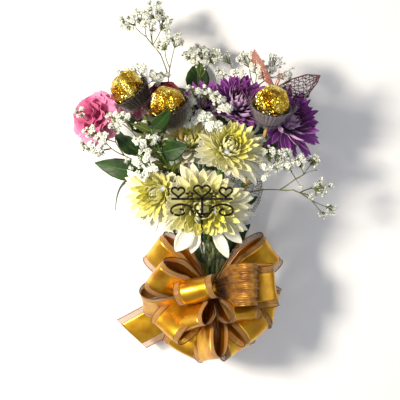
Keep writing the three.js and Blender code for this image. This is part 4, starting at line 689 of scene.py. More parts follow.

# %% [markdown]
# ## Carnations and the rose
#
# A carnation is a dome of fan petals with toothed, ruffled edges, packed so close that they shade each
# other: the deep pink at each petal's base and at its heart is painted shade. The rose is a bud of broad
# shells, each round the last, and the outer ones roll back at the rim. Its darker red deep inside is painted
# shade too. The same petal tree bends both, with wider templates.

# %% Carnation and rose petals
# Pink petals: the deep pink at the heart and at each petal's base is painted shade between the packed
# petals.
PINK = petal_skin(
    "carnation petal, pink", [(0, "d85a90"), (0.5, "ea88b4"), (1, "f4b0cc")], "a02a5e", "f58cc0", 0.4, 46
)
# The rose's own colour is dark red. Its near-black heart and petal bases are painted shade.
RED = petal_skin(
    "rose petal, dark red velvet",
    [(0, "46040e"), (0.5, "700718"), (1, "8a0d24")], "3c030c", "8c1830", 0.4, 16,
)
CIRCLE = 6.28  # radians, for a phase drawn at random
for bloom, total, seed in [("carnation_left", 34, 11), ("carnation_back", 28, 12)]:
    rng = np.random.default_rng(seed)
    reach = BLOOMS[bloom][2]
    planes = planes_of(bloom)
    petals = [
        petal(
            bloom,
            turn=k * GOLDEN_ANGLE + rng.uniform(-0.1, 0.1),
            polar=mix(6, 90, rank**0.6),
            start=reach * 0.3,
            reach=reach * mix(0.54, 0.66, rank) * rng.uniform(0.92, 1.08),
            half=reach * mix(0.3, 0.5, rank) * rng.uniform(0.9, 1.1),
            curl=rng.uniform(-30, 14),
            rank=rank,
            chance=rng.uniform(),
            planes=planes,
            cup=rng.uniform(-0.25, 0.3),
            twist=rng.uniform(-0.5, 0.5),
            ruffle=rng.uniform(0.16, 0.32),
            phase=rng.uniform(0, CIRCLE),
        )
        for k, rank in ranks(total)
    ]
    flower(bloom, petals, FAN, 5.5, PINK, "pink_petal", 0.4)

rng = np.random.default_rng(5)
reach = BLOOMS["red_rose"][2]
planes = planes_of("red_rose")
petals = [
    petal(
        "red_rose",
        turn=k * GOLDEN_ANGLE,
        polar=mix(4, 66, rank),
        start=reach * mix(0.1, 0.3, rank),
        reach=reach * mix(0.8, 0.74, rank),
        half=reach * mix(0.26, 0.52, rank**0.7),
        curl=mix(50, -34, rank**1.4) + rng.uniform(-6, 6),
        rank=rank,
        chance=rng.uniform(),
        planes=planes,
        cup=mix(0.9, 0.35, rank),
        ruffle=0.05,
        phase=rng.uniform(0, CIRCLE),
    )
    for k, rank in ranks(24)
]
flower("red_rose", petals, SHELL, 3.0, RED, "red_petal", 0.36)

# %% [markdown]
# ## Stems
#
# Each stem has its own place in the tied bundle, counted outwards on a honeycomb, and curves from there to
# its bloom. Under the bloom it opens into a green cup. Such a bar could be a curve with a bevel. A tube
# over computed points does the same, and its radius can follow the knots and the cup.

# %% Stem paths
SLOT_PITCH = 4
WAIST_HEIGHT = 30
HANDLE_LENGTH = 62
HANDLE_SLOPE = 0.305
HEAD_SLOPE = 0.18
FAN_LEAN = 0.011
LEAD = 0.42  # of the way up: how far a stem keeps its first direction
CALYX = 5
KNOTS, KNOT_SWELL = 4, 0.14
FLOWER_STEM, LEAF_STEM, SPRAY_STEM = (1.8, 1.6), (1.5, 0.9), (1.2, 0.7)  # radius at the cut, and at the end
HEADWARDS = unit([0, 1, HEAD_SLOPE])


def waist_point(slot):
    """Where a stem passes through the tie: its place on a honeycomb, counted outwards."""
    if slot == 0:
        return np.array([0.0, 0.0, WAIST_HEIGHT])
    ring = 1
    while 3 * ring * (ring + 1) < slot:
        ring += 1
    step = slot - 3 * ring * (ring - 1) - 1
    corners = [math.pi / 3 * (step // ring + k) for k in (0, 1)]
    a, b = (ring * SLOT_PITCH * np.array([math.cos(t), 0, math.sin(t)]) for t in corners)
    return np.array([0, 0, WAIST_HEIGHT]) + mix(a, b, step % ring / ring)


def stalk_path(slot, root, arrive, pull=34, steps=22):
    """From the cut end, through the tie, to a root that is reached in the direction `arrive`."""
    waist = waist_point(slot)
    cut = waist - unit([0, 1, HANDLE_SLOPE]) * (HANDLE_LENGTH - 3 + slot * 7 % 5)  # the ends are uneven
    fan = unit(HEADWARDS + FAN_LEAN * np.array([waist[0], 0, waist[2] - WAIST_HEIGHT]))
    lead = waist + fan * np.linalg.norm(root - waist) * LEAD
    t = np.linspace(0, 1, steps)[:, None]
    curve = (1 - t) ** 3 * waist + 3 * (1 - t) ** 2 * t * lead
    curve = curve + 3 * (1 - t) * t**2 * (root - arrive * pull) + t**3 * root
    return np.vstack([mix(cut, waist, t[::4][:5]), curve])


def stalk(gather, path, ends, seed, sides):
    """A stem tapers towards its end, and swells a little at a few knots."""
    rng = np.random.default_rng(seed)
    along = np.linspace(0, 1, len(path))
    radii = mix(*ends, along)
    for knot in rng.uniform(0.1, 0.9, KNOTS):
        radii = radii * (1 + KNOT_SWELL * np.exp(-(((along - knot) * len(path)) ** 2)))
    gather.add(*tube(path, radii, sides), along=np.repeat(along, sides))


# Stems are fresh green and a little waxy, paler and yellower towards the cut. Their skin's grain is about
# 0.2 mm, and is drawn at 0.8 mm so that it shows.
STEM = material("stem, waxy green", [
    ("skin", "ValToRGB", ["along"], {"stops": [(0, "8a9a4c"), (0.25, "5f7f36"), (1, "4c7a2e")]}),
    ("grain", "TexNoise", {"Vector": "place", "Scale": 1.2}),
    ("relief", "Bump", {"Height": "grain", "Strength": 0.3, "Distance": 0.0004}),
], Base_Color="skin", Normal="relief", Roughness=0.5, Specular_IOR_Level=0.4)

STALKS = {}
for bloom, (centre, axis, reach, slot) in BLOOMS.items():
    neck = centre - axis * core_depth(bloom) * CORE_BOTTOM - axis * CALYX
    path = STALKS["stem_" + bloom] = stalk_path(slot, neck, axis)
    green = Gather()
    stalk(green, path, FLOWER_STEM, slot, 10)
    cup = neck + np.outer([-2, 0, 1.5, 3.2, CALYX + 0.3], axis)
    radii = [1.7, 2.1, reach * 0.1, reach * 0.15, reach * 0.17]
    green.add(*tube(cup, radii, 12), along=np.repeat(0.8 + 0.2 * np.linspace(0, 1, 5), 12))
    dress(green.make("stem_of_" + bloom), STEM, "stem_" + bloom)

# %% [markdown]
# ## Leaves
#
# A leaf is a pointed blade, folded along its rib and waved at the rim. It is dark and glossy above, paler
# and dull below, with a light rib and side veins. The veins run at a slant to the rib, so they are drawn
# from the two marks that each point carries: how far along the blade it is, and how far across.

# %% Leaf material
# A leaf of 40 mm has five or six side veins on each side of its rib, one every 7 mm. Its blotches are
# about 11 mm across.
def leaf_skin(name, dark, light, vein, under, roughness):
    """A leaf's skin: waxy, blotched, with a rib and slanting side veins pressed into it."""
    return material(name, [
        ("spread", "ABSOLUTE", ["across"]),
        ("slant", "MULTIPLY_ADD", ["spread", -0.28, "along"]),
        ("steps", "MULTIPLY", ["slant", 11.0]),
        ("zigzag", "PINGPONG", ["steps", 1.0]),
        ("side veins", "MapRange", ["zigzag", 0.0, 0.16, 1.0, 0.0], SMOOTH_STEP),
        ("rib", "MapRange", ["spread", 0.02, 0.1, 1.0, 0.0], SMOOTH_STEP),
        ("veins", "MULTIPLY_ADD", ["side veins", 0.4, "rib"], {"use_clamp": True}),
        *clouds(0.09, 3.0, (0.3, dark), (0.7, light)),
        ("veined", "Mix", {0: "veins", 6: "shades", 7: colour(vein)}, COLOURS),
        ("skin", "Mix", {0: "under", 6: "veined", 7: colour(under)}, COLOURS),
        ("relief", "Bump", {"Height": "veins", "Strength": 0.5, "Distance": 0.0008}, {"invert": True}),
    ], Base_Color="skin", Normal="relief", Roughness=roughness, Specular_IOR_Level=0.35)


LEAF = leaf_skin("leaf, dark and glossy", "0e2204", "26480c", "3a6420", "3c5628", 0.5)
FEATHERY = leaf_skin("feathery leaf, olive and dull", "232c08", "566418", "8a9440", "5e6a2c", 0.6)


# %% Leaf blades
BLADE = 0.55
OUTLINE = ([0, 0.1, 0.2, 0.34, 0.5, 0.68, 0.85, 1], [0.09, 0.13, 0.5, 0.88, 1, 0.86, 0.5, 0.05])
LOBE_WAVES, FOLD, RIM_WAVE, LAG = 30, 0.17, 0.06, 0.12
SMALL = {"rows": 18, "columns": 7}


def leaf_blade(gather, start, tip, faces_to, half, arched=0.1, lobes=0.0, rows=26, columns=11):
    """One leaf from its stalk's end to its tip. Lobes cut the rim back in steps, as on a garden mum."""
    start, tip = np.array(start, float), np.array(tip, float)
    length = np.linalg.norm(tip - start)
    along = (tip - start) / length
    side = unit(np.cross(faces_to, along))
    up = np.cross(along, side)
    t = np.linspace(0, 1, rows)[:, None]
    u = np.linspace(-1, 1, columns)[None, :]
    width = half * np.interp(t, *OUTLINE)
    width = width * (1 - lobes * (0.5 + 0.5 * np.cos(t * LOBE_WAVES)) * (t < 0.95))
    arch = arched * length * np.sin(math.pi * t)
    fold = FOLD * width * np.abs(u) ** 1.3 + RIM_WAVE * width * np.abs(u) ** 3 * np.sin(11 * t + 2 * u)
    lag = -LAG * half * np.abs(u) * (t > 0.15) * np.sin(math.pi * t)
    grid = start + along * (length * t + lag)[..., None] + side * (width * u)[..., None]
    points, faces, under = slab(grid + up * (arch + fold)[..., None], BLADE)
    gather.add(points, faces, under=under, along=[t + 0 * u] * 2, across=[u + 0 * t] * 2)


LEAFY_STEMS = {  # place in the bundle, end, direction at the end; then from, to, facing, half width per leaf
    "left": (27, [-62, 124, 80], [-0.35, 0.8, 0.4], [
        ([-62, 106, 66], [-106, 117, 70], [0.1, -0.15, 1], 10),
        ([-61, 102, 62], [-88, 73, 60], [-0.75, 0.5, 0.35], 3.6, 0.26),
        ([-62, 124, 80], [-86, 142, 86], [0.2, -0.3, 1], 8),
    ]),
    "centre": (25, [-51, 144, 122], [-0.1, 0.5, 0.86], [
        ([-46, 122, 100], [-20, 130, 114], [-0.35, -0.25, 1], 10),
        ([-51, 144, 122], [-34, 159, 142], [-0.1, -0.75, 0.6], 7),
    ]),
    "back": (3, [-12, 186, 4], [0, 1, -0.05], [
        ([-12, 186, 4], [-11, 221, 6], [0, 0, 1], 12),
        ([-12, 170, 5], [-40, 196, 1.2], [0, 0, 1], 10),
    ]),
    "back_left": (15, [-46, 148, 20], [0, 1, -0.05], [
        ([-46, 148, 20], [-88, 172, 0.6], [-0.4, 0, 1], 11),
        ([-42, 132, 20], [-88, 136, 16], [0.1, 0, 1], 10),
    ]),
    "back_right": (18, [44, 146, 20], [0, 1, -0.05], [
        ([44, 146, 20], [82, 174, 0.6], [0.4, 0, 1], 11),
        ([40, 132, 20], [86, 136, 16], [-0.1, 0, 1], 10),
        ([44, 146, 20], [34, 186, 10], [0, 0, 1], 9),
    ]),
}
for name, (slot, tip, arrive, leaves) in LEAFY_STEMS.items():
    path = STALKS["leaves_" + name] = stalk_path(slot, np.array(tip, float), unit(arrive), 36)
    green, blades = Gather(), Gather()
    stalk(green, path, LEAF_STEM, slot, 8)
    dress(green.make("stalk_" + name), STEM, "leaves_" + name)
    for start, *leaf in leaves:
        nearest = path[np.argmin(np.linalg.norm(path - start, axis=1))]
        leaf_blade(blades, nearest, *leaf)
    dress(blades.make("blades_" + name), LEAF, "leaves_" + name)

# The leaves that a chrysanthemum carries below its bloom, seen through the film.
LOW_LEAVES = {
    "cream_front": [
        ([-4, 22, 46], [-26, 50, 58], [0.1, -0.2, 1], 8),
        ([2, 26, 48], [22, 52, 60], [0, -0.2, 1], 9),
        ([0, 34, 52], [-2, 62, 66], [0.1, -0.1, 1], 8),
    ],
    "cream_right": [
        ([6, 30, 42], [38, 60, 52], [-0.2, -0.2, 1], 9),
        ([4, 60, 56], [44, 86, 66], [0, 0, 1], 9),
    ],
    "cream_left": [([-6, 28, 42], [-36, 58, 52], [0.2, -0.2, 1], 9)],
}
for bloom, leaves in LOW_LEAVES.items():
    blades = Gather()
    for leaf in leaves:
        leaf_blade(blades, *leaf, lobes=0.32)
    dress(blades.make("low_leaves_" + bloom), LEAF, "stem_" + bloom)

# Feathery leaves crowd just under the film, at the front: each is given by its angle round the bundle.
ROOM = ([16, 30, 49, 80], [18.2, 22.2, 30, 47])  # how far the film stands from the middle of the bundle
rng = np.random.default_rng(17)
blades = Gather()
for _, rank in ranks(26):
    turn = math.radians(rng.uniform(-62, 62))
    height = mix(16, 50, rank)
    outward = np.array([math.sin(turn), 0, math.cos(turn)])
    start, tip = (
        np.array([0, y, WAIST_HEIGHT + y * HEAD_SLOPE]) + outward * np.interp(y, *ROOM) * depth
        for y, depth in ((height, 0.72), (height + rng.uniform(10, 16), 0.84))
    )
    tip[0] += rng.uniform(-11, 11)
    facing = outward + np.array([rng.uniform(-0.8, 0.8), rng.uniform(-0.7, 0.4), 0])
    leaf_blade(blades, start, tip, facing, rng.uniform(2.6, 4.4), lobes=0.4, **SMALL)
dress(blades.make("feathery_leaves"), FEATHERY, "stem_cream_front")

# Small leaves fill two hollows between the blooms, on the stalks that rise through them.
HOLLOWS = {  # how many, from and up to which Y, least and most sideways, seed
    "leaves_centre": (44, 60, 142, -1.3, 0.7, 23),
    "stem_purple_upper": (26, 112, 152, -1.5, 0.2, 29),
}
for node, (count, low, high, least, most, seed) in HOLLOWS.items():
    rng = np.random.default_rng(seed)
    lively = [point for point in STALKS[node] if low < point[1] < high]
    blades = Gather()
    for k in range(count):
        start = lively[k % len(lively)]
        way = np.array([rng.uniform(least, most), rng.uniform(0.1, 1.0), rng.uniform(-0.3, 0.4)])
        tip = start + unit(way) * rng.uniform(14, 26)
        facing = np.array([rng.uniform(-0.4, 0.4), rng.uniform(-0.4, 0.4), 1])
        leaf_blade(blades, start, tip, facing, rng.uniform(2.2, 4.2), lobes=0.35, **SMALL)
    dress(blades.make("hollow_" + node), FEATHERY, node)

# %% [markdown]
# ## Baby's breath
#
# A spray forks again and again into threads, and each thread ends in a small double flower or a bud. Three
# shapes are enough: an open floret of crowded petals over a green calyx, a half-open one, and a bud. A
# Geometry Nodes tree puts one of them on each point, turned along its own thread. The threads are tubes.

# %% Floret shapes
UP = np.array([0, 0, 1])


def small_petal(gather, base, way, face, reach, half, fat, white):
    """A petal of ten triangles: a kite, a little thicker in the middle."""
    side = np.cross(unit(way), unit(face)) * half
    waist, tip, middle = (base + unit(way) * reach * share for share in (0.66, 1, 0.6))
    points = [base, waist + side, tip + side * 0.35, tip - side * 0.35, waist - side]
    points += [middle + unit(face) * fat, middle - unit(face) * fat]
    rim = [(0, 1), (1, 2), (2, 3), (3, 4), (4, 0)]
    faces = [(5, b, a) for a, b in rim] + [(6, a, b) for a, b in rim]
    # Each petal is olive grey at its base, in the floret's middle: painted shade where the petals crowd.
    gather.add(points, faces, white=[0.15 * white] + [white] * 6)


def floret(petals, lean, reach):
    """An unplaced floret, one unit in radius, with its thread coming in along its own Z."""
    rng = np.random.default_rng(3)
    gather = Gather()
    for k, rank in ranks(petals):
        polar, turn = math.radians(mix(*lean, rank**0.7)), k * GOLDEN_ANGLE
        outward = np.array([math.cos(turn), math.sin(turn), 0])
        way = outward * math.sin(polar) + UP * math.cos(polar)
        face = UP * math.sin(polar) - outward * math.cos(polar)
        long, white = reach * rng.uniform(0.8, 1.05), rng.uniform(0.7, 1)
        small_petal(gather, way * 0.1, way, face, long, 0.46, 0.12, white)
    # The crowded middle is a little greyer than the petals: painted shade among them.
    crowded = np.outer([-0.2, 0.1, 0.45, 0.7], UP)
    gather.add(*tube(crowded, np.array([0.2, 0.5, 0.45, 0.1]) * reach, 6), white=0.55)
    gather.add(*tube(np.outer([-0.75, -0.3, 0.12], UP), [0.09, 0.3, 0.3], 5), white=-1.0)
    return gather


bud = Gather()
bud.add(*tube(np.outer([-0.4, 0, 0.45, 0.8], UP), [0.2, 0.45, 0.42, 0.12], 6),
        white=np.repeat([-1, -0.6, 0.5, 0.9], 6))
SHAPES = bpy.data.collections.new("floret shapes")  # filed in their own units, for the tree to pick from
for name, gather in {
    "1 open floret": floret(12, (16, 112), 1.0),
    "2 half-open floret": floret(5, (8, 34), 0.95),
    "3 bud": bud,
}.items():
    mesh = mesh_of(name, np.vstack(gather.points), faces=gather.faces)
    mark(mesh, "white", np.concatenate(gather.marks["white"]))
    SHAPES.objects.link(bpy.data.objects.new(name, mesh))

# %% The tree that sets florets
FLORET_TREE, known = group(
    "florets on threads",
    {"Shapes": "Collection", "Radius": "Float", "Finish": "Material"},
    {"aim": "FLOAT_VECTOR", "spin": "FLOAT", "share": "FLOAT", "kind": "INT"},
)
wire(FLORET_TREE, known, [
    ("shapes", "GeometryNodeCollectionInfo",
     {"Collection": "Shapes", "Separate Children": True, "Reset Children": True}),
    ("aimed", "FunctionNodeAlignRotationToVector", {"Vector": "aim"}, {"axis": "Z"}),
    ("spun", "FunctionNodeAxisAngleToRotation", {"Axis": (0, 0, 1), "Angle": "spin"}),
    ("turned", "FunctionNodeRotateRotation", {"Rotation": "aimed", "Rotate By": "spun"},
     {"rotation_space": "LOCAL"}),
    ("size", "MULTIPLY", ["share", "Radius"]),
    ("points", "GeometryNodeMeshToPoints", {"Mesh": "Geometry"}),
    ("spread", "GeometryNodeInstanceOnPoints",
     {"Points": "points", "Instance": "shapes", "Pick Instance": True, "Instance Index": "kind",
      "Rotation": "turned", "Scale": "size"}),
    ("real", "GeometryNodeRealizeInstances", ["spread"]),
    ("painted", "GeometryNodeSetMaterial", {"Geometry": "real", "Material": "Finish"}),
    ("end", "NodeGroupOutput", ["painted"]),
])

# A baby's breath floret is thin white petal, nearly paper, over a green cup. The olive grey where its petals
# meet is painted shade.
GREEN_TO_WHITE = [
    (0, "4f5c22"), (0.3, "6f7a34"), (0.52, "8b9360"), (0.66, "c3c7ae"), (0.86, "dfe1d6"), (1, "ebece6"),
]
BABY = material("baby's breath floret, papery white", [
    ("level", "MapRange", ["white", -1.0, 1.0]),
    ("flesh", "ValToRGB", ["level"], {"stops": GREEN_TO_WHITE}),
    ("light", "MapRange", ["share", 0.6, 1.1, 0.85, 1.05]),
    ("skin", "HueSaturation", {"Color": "flesh", "Value": "light"}),
], Base_Color="skin", Roughness=0.7, Specular_IOR_Level=0.2)
# Its threads are olive green, thin and dry, in patches of about 7 mm.
TWIG = material(
    "baby's breath twig, olive",
    clouds(0.15, 2.0, (0.35, "46521f"), (0.65, "747c3c")),
    Base_Color="shades", Roughness=0.6, Specular_IOR_Level=0.3,
)


def set_florets(name, florets, node):
    """Runs the floret tree over a list of (point, aim, share of the radius, kind)."""
    rng = np.random.default_rng(len(florets))
    places, aims, shares, kinds = zip(*florets)
    mesh = mesh_of(name, np.array(places) / MM + TIE)
    mark(mesh, "aim", aims, "FLOAT_VECTOR")
    mark(mesh, "spin", rng.uniform(0, CIRCLE, len(florets)))
    mark(mesh, "share", shares)
    mark(mesh, "kind", kinds, "INT")
    made = grow(name, mesh, FLORET_TREE, Shapes=SHAPES, Radius=1 / MM, Finish=BABY)
    dress(made, BABY, node)


# %% Sprays
FLORET, BUD = 3.0, 1.7
OPEN_FROM = 2.4  # from this size on, a floret is always an open one
KIND_SHARES = (0.45, 0.3, 0.25)  # of the smaller ones: open, half open, bud
FLORET_SHARE = 0.66
MOST_FLORETS = 7
FORK_TWIG, HEAD_TWIG, FLORET_TWIG = (0.65, 0.5, 0.03), (0.5, 0.36, 0.05), (0.3, 0.2, 0.06)  # radii, bend
LARGER, USUAL_SIZE = {"centre": 1.45, "top": 1.3, "top_left": 1.3}, 1.14
# How many small florets there are for each large one.
FILLING = {"upper_right": 2.2, "top": 1.5, "top_left": 1.4, "centre": 1.6, "right_low": 2.0}
USUAL_FILLING = 1.15
SPRAYS = {
    # place in the bundle, start, forks (parent, x, y, z),
    # heads (fork, x, y, z, radius, count, and the size where they are not open florets)
    "top_left": (4, [-37.5, 186, 48], [
        (-1, -39, 199.5, 52), (0, -46, 219, 54), (1, -53.5, 228, 55), (2, -59.5, 235.5, 56),
        (0, -37.5, 206.5, 54),
    ], [
        (3, -75.5, 248.5, 60, 8, 9), (3, -62, 253, 62, 7, 7), (2, -50, 258, 62, 8, 9),
        (2, -42.5, 247, 60, 7, 7), (2, -55.5, 244.5, 66, 6, 5), (4, -43.5, 228, 60, 6, 5),
        (4, -31.5, 231.5, 58, 6.5, 6),
    ]),
    "top": (14, [-11, 186, 26], [(-1, -9, 201, 27)], [
        (0, -18, 222, 30, 6.5, 7), (0, -7.5, 225, 30, 6.5, 7), (0, 3.5, 221.5, 28, 6.5, 7),
        (0, -8, 212.5, 36, 4.5, 4, BUD),
    ]),
    "upper_right": (6, [43, 176, 60], [(-1, 41.5, 186.5, 66), (0, 30, 193, 66), (0, 54, 196, 64)], [
        (1, 15, 213, 66, 6, 6, BUD), (1, 10, 200.5, 68, 5, 4, BUD), (1, 26, 196, 78, 5.5, 4),
        (0, 34, 211, 74, 7.5, 7), (0, 43, 202, 80, 6.5, 6), (2, 53, 201, 76, 6, 5),
        (2, 60, 210, 68, 7.5, 7, BUD), (2, 69, 196, 70, 5.5, 5), (2, 77, 205, 64, 1.5, 1, BUD),
    ]),
    "centre": (20, [0, 143, 78], [(-1, -1, 150, 96), (0, -8, 160, 99), (0, 3, 161, 98)], [
        (1, -14.5, 178, 99, 5.5, 4), (1, -4, 177, 98, 4.5, 3), (2, 6, 170.5, 102, 5, 4),
        (2, 13, 162, 106, 4.5, 3), (1, -18, 166, 102, 5, 4), (0, -6.5, 155.5, 107, 5, 5),
        (0, -17, 152.5, 105, 4.5, 3), (0, 4, 147.5, 110, 5, 4),
    ]),
    "left": (13, [-56, 97.5, 68], [
        (-1, -62.5, 113, 78), (0, -77, 122.5, 92), (1, -88, 128.5, 96), (1, -84, 134, 100),
    ], [
        (2, -117, 161, 94, 4, 3), (3, -106, 143, 106, 5, 4), (3, -95, 137, 107, 5.5, 5),
        (2, -110, 131, 96, 5, 5), (2, -99, 127, 99, 5.5, 5), (3, -84, 146, 108, 4.5, 4),
    ]),
    "front_left": (29, [-48, 106, 84], [(-1, -54, 116, 98), (0, -57, 127, 104), (1, -68, 142, 106)], [
        (2, -75, 155, 113, 5, 5), (2, -86, 155, 108, 5, 4), (1, -59.5, 147, 114, 4.5, 4),
        (1, -53, 143, 112, 4.5, 4), (1, -62, 132.5, 114, 5, 4), (1, -51, 135.5, 116, 4.5, 4),
        (0, -57, 124, 114, 4.5, 3), (0, -70, 115.5, 104, 4.5, 3), (0, -60, 116, 110, 4.5, 3),
        (-1, -60, 105, 104, 5, 4), (-1, -51, 108, 107, 4.5, 3),
    ]),
    "right_low": (8, [45, 91.5, 72], [
        (-1, 63.5, 92, 78), (0, 75.5, 92, 80), (1, 81.5, 89.5, 80), (2, 92, 83, 76),
        (0, 77.5, 102, 84), (4, 84.5, 106, 86), (2, 91.5, 93.5, 80),
    ], [
        (3, 111.5, 74.5, 70, 5, 6, BUD), (3, 104.5, 70, 66, 3.5, 3, BUD), (6, 100.5, 93, 80, 6, 6),
        (6, 109.5, 95.5, 78, 1.8, 1), (6, 100.5, 101, 82, 1.8, 1), (2, 90, 87.5, 84, 3, 2),
        (5, 93, 118, 84, 5, 5), (5, 96, 110, 84, 1.5, 1, BUD), (5, 79, 117, 90, 5.5, 5),
        (4, 81, 95, 90, 2, 1), (4, 70, 112, 92, 4.5, 4),
    ]),
    "right_middle": (22, [38, 98, 82], [(-1, 49, 101, 84), (0, 54, 112, 90)], [
        (1, 52, 124, 98, 5.5, 5), (1, 61, 122, 96, 5.5, 5), (1, 68, 124, 94, 4.5, 4),
        (0, 50, 111, 99, 4.5, 4), (1, 59, 110, 97, 4, 3), (0, 48, 102, 95, 3.5, 3),
        (1, 47, 135, 97, 3.5, 2),
    ]),
    "back_left": (0, [-57, 178, 42], [(-1, -60, 190, 60)], [
        (0, -77.5, 199, 80, 5.5, 4), (0, -64, 199, 80, 6.5, 6), (0, -49.5, 194, 74, 5.5, 6),
        (0, -42, 197, 64, 4.5, 3),
    ]),
}


def floret_points(centre, radius, count, draw):
    """The places of a cluster's florets, on a small ball, as the measured model has them."""
    if count == 1:
        return [centre]
    points = []
    for k, rank in ranks(count):
        height = 1 - 2 * rank
        turn = k * GOLDEN_ANGLE + draw() * 0.8
        share = radius * (0.7 + 0.35 * draw())
        level = math.sqrt(1 - height**2)
        points.append(centre + share * np.array([level * math.cos(turn), level * math.sin(turn), height]))
    return points


def twig(gather, start, end, thick, thin, sag, rng):
    """A thread from one point to another, with a slight bend of its own."""
    t = np.linspace(0, 1, 6)[:, None]
    bend = sag * rng.normal(size=3) * np.linalg.norm(end - start)
    gather.add(*tube(mix(start, end, t) + np.sin(math.pi * t) * bend, mix(thick, thin, t.ravel()), 5))


for k, (name, (slot, start, joints, heads)) in enumerate(SPRAYS.items()):
    rng = np.random.default_rng(40 + k)
    draw = seeded(100 + k)
    start = np.array(start, float)
    forks = [np.array(place, float) for _, *place in joints] + [start]  # the parent -1 is the start
    threads = Gather()
    stalk(threads, stalk_path(slot, start, unit(forks[0] - start), 30), SPRAY_STEM, slot, 7)
    for (parent, *_), place in zip(joints, forks):
        twig(threads, forks[parent], place, *FORK_TWIG, rng)
    florets = []
    for parent, x, y, z, radius, total, *size in heads:
        centre, base = np.array([x, y, z], float), forks[parent]
        size = size[0] if size else FLORET
        count = max(1, int(total * FLORET_SHARE + 0.5))
        if count > 1:
            gap = np.linalg.norm(centre - base)
            base = mix(base, centre, max(gap - radius, 0.4 * radius) / gap)
            twig(threads, forks[parent], base, *HEAD_TWIG, rng)
        places = floret_points(centre, radius, min(count, MOST_FLORETS), draw)
        sizes = [size] * len(places)
        filling = FILLING.get(name, USUAL_FILLING) if total > 1 else 0
        for _ in range(round(total * filling)):  # smaller ones fill in between
            way = unit(rng.normal(size=3))
            way = unit(way + 0.5 * unit(centre - base))
            places.append(centre + way * radius * rng.uniform(0.5, 1.3))
            sizes.append(size * rng.uniform(0.5, 0.9))
        for place, big in zip(places, sizes):
            aim = unit(place - base)
            twig(threads, base, place - aim * 0.6 * big, *FLORET_TWIG, rng)
            kind = 0 if big > OPEN_FROM else rng.choice([0, 1, 2], p=KIND_SHARES)
            size_drawn = LARGER.get(name, USUAL_SIZE) * big * rng.uniform(0.88, 1.08)
            florets.append((place, aim, size_drawn, int(kind)))
    dress(threads.make("twigs_" + name), TWIG, "babys_breath_" + name)
    set_florets("florets_" + name, florets, "babys_breath_" + name)

# %% [markdown]
# ## Chocolates
#
# Each chocolate is a ball in crumpled gold foil. It sits in a fluted paper cup, which sits in a clear
# moulded cup on a stick. Foil creases into flat facets with sharp folds, so the ball is the body left inside
# many planes, with fine ridges of noise on top. The cups are turned profiles, and the paper's profile is
# waved round its rim.

# %% Turned shapes
def turned(profile, columns, wave=None):
    """A profile of (radius, height) points turned round Z. `wave` gives each point's flute depth."""
    angle = turns(columns)
    rings = []
    for k, (radius, height) in enumerate(profile):
        r = radius + (wave(k, angle) if wave else 0 * angle)
        rings.append(np.stack([r * np.cos(angle), r * np.sin(angle), height + 0 * angle], axis=-1))
    return capped(rings)


def set_on(points, centre, axis):
    """Turns points from +Z to an axis by the shortest way, and moves them to a centre."""
    spin = np.array(Vector((0, 0, 1)).rotation_difference(Vector(axis)).to_matrix())
    return np.asarray(points) @ spin.T + centre


# %% Foil, paper, clear plastic and wood
# Aluminium foil, lacquered gold: a metal, bright yellow where it faces the light, with creases about 3 mm
# apart pressed into it. Its colour is clouded from brown through gold to pale yellow in patches of about 11
# mm: partly the lacquer's uneven tone, partly painted highlight and painted shade of the crumpled facets.
FOIL = material("crumpled foil, gold lacquer", [
    *clouds(0.09, 2.0, (0.38, "a06c12"), (0.5, "e6c03c"), (0.62, "fff08c")),
    ("crease", "TexVoronoi", {"Vector": "place", "Scale": 0.34}, {"feature": "DISTANCE_TO_EDGE"}),
    ("relief", "Bump", {"Height": "crease", "Strength": 0.9, "Distance": 0.0022}),
], Base_Color="shades", Normal="relief", Metallic=1.0, Roughness=0.26)

# Glassine paper is cloudy with fibres about 1 mm long, and a little shiny. Two cups are dark brown, the
# right one is paler.
PAPER, PALE_PAPER = (
    material(
        "glassine cup paper, " + name, clouds(0.9, 5.0, (0.3, dark), (0.75, light)),
        Base_Color="shades", Roughness=0.5, Specular_IOR_Level=0.35,
    )
    for name, dark, light in (("grey brown", "241c18", "4a3f38"), ("pale grey", "5a5056", "8c8288"))
)
# Bamboo: pale tan with darker fibres. They are about 0.3 mm wide, and are drawn at 0.9 mm to show.
BAMBOO = clouds(1.1, 2.0, (0.3, "a87c3e"), (0.7, "cfa868"))
WOOD = material("bamboo stick", BAMBOO, Base_Color="shades", Roughness=0.6)
# Clear polystyrene: nearly invisible face on, grey and shiny where the wall is seen edge on.
CLEAR = material("clear polystyrene", [
    ("edge", "LayerWeight", {"Blend": 0.45}),
    ("solid", "MapRange", ["edge Facing", 0.5, 1.0, 0.02, 0.6]),
], Alpha="solid", Base_Color=colour("807c84"), Roughness=0.06, Specular_IOR_Level=0.7)

# %% Balls, cups and sticks
CHOCOLATES = {
    "left": ([-73.6, 183, 92], [-0.6, 0.68, 0.43], 26),
    "middle": ([-37.6, 166, 118], [-0.36, 0.76, 0.55], 11),
    "right": ([53.5, 168, 112], [0.13, 0.78, 0.6], 9),
}  # centre, the way the cup opens, place of the stick in the bundle
BALL_RADIUS = 16.4
FOIL_PLANES, FOIL_DEPTHS = 44, (0.86, 0.98)  # how many flat facets, and how far out they lie
RIDGE_DEPTH, RIDGE_SCALE = 1.9, 2.4
RIDGES = (1.0, 2.1, 3, 1.0, 2.0)  # roughness, step between layers, layers, offset and gain of the noise
CUP_BASE, CUP_RIM = (11.2, -17.6), (18.1, -3.5)  # radius and height
CUP_FLUTES = 30
FLUTE_BASE, FLUTE_GROWTH = 0.15, 0.55
PAPER_WALL = 0.45
HOLDER_BASE, HOLDER_RIM, HOLDER_WALL = (13.1, -19.4), (23.1, 2.0), 0.8
HOLDER_FLOOR = HOLDER_BASE[1] + 1.2
SOCKET_RADIUS, SOCKET_BORE, SOCKET_DEPTH = 3.2, 1.86, 8
NOTCH_DEPTH, NOTCH_HALF = 6.0, 0.1
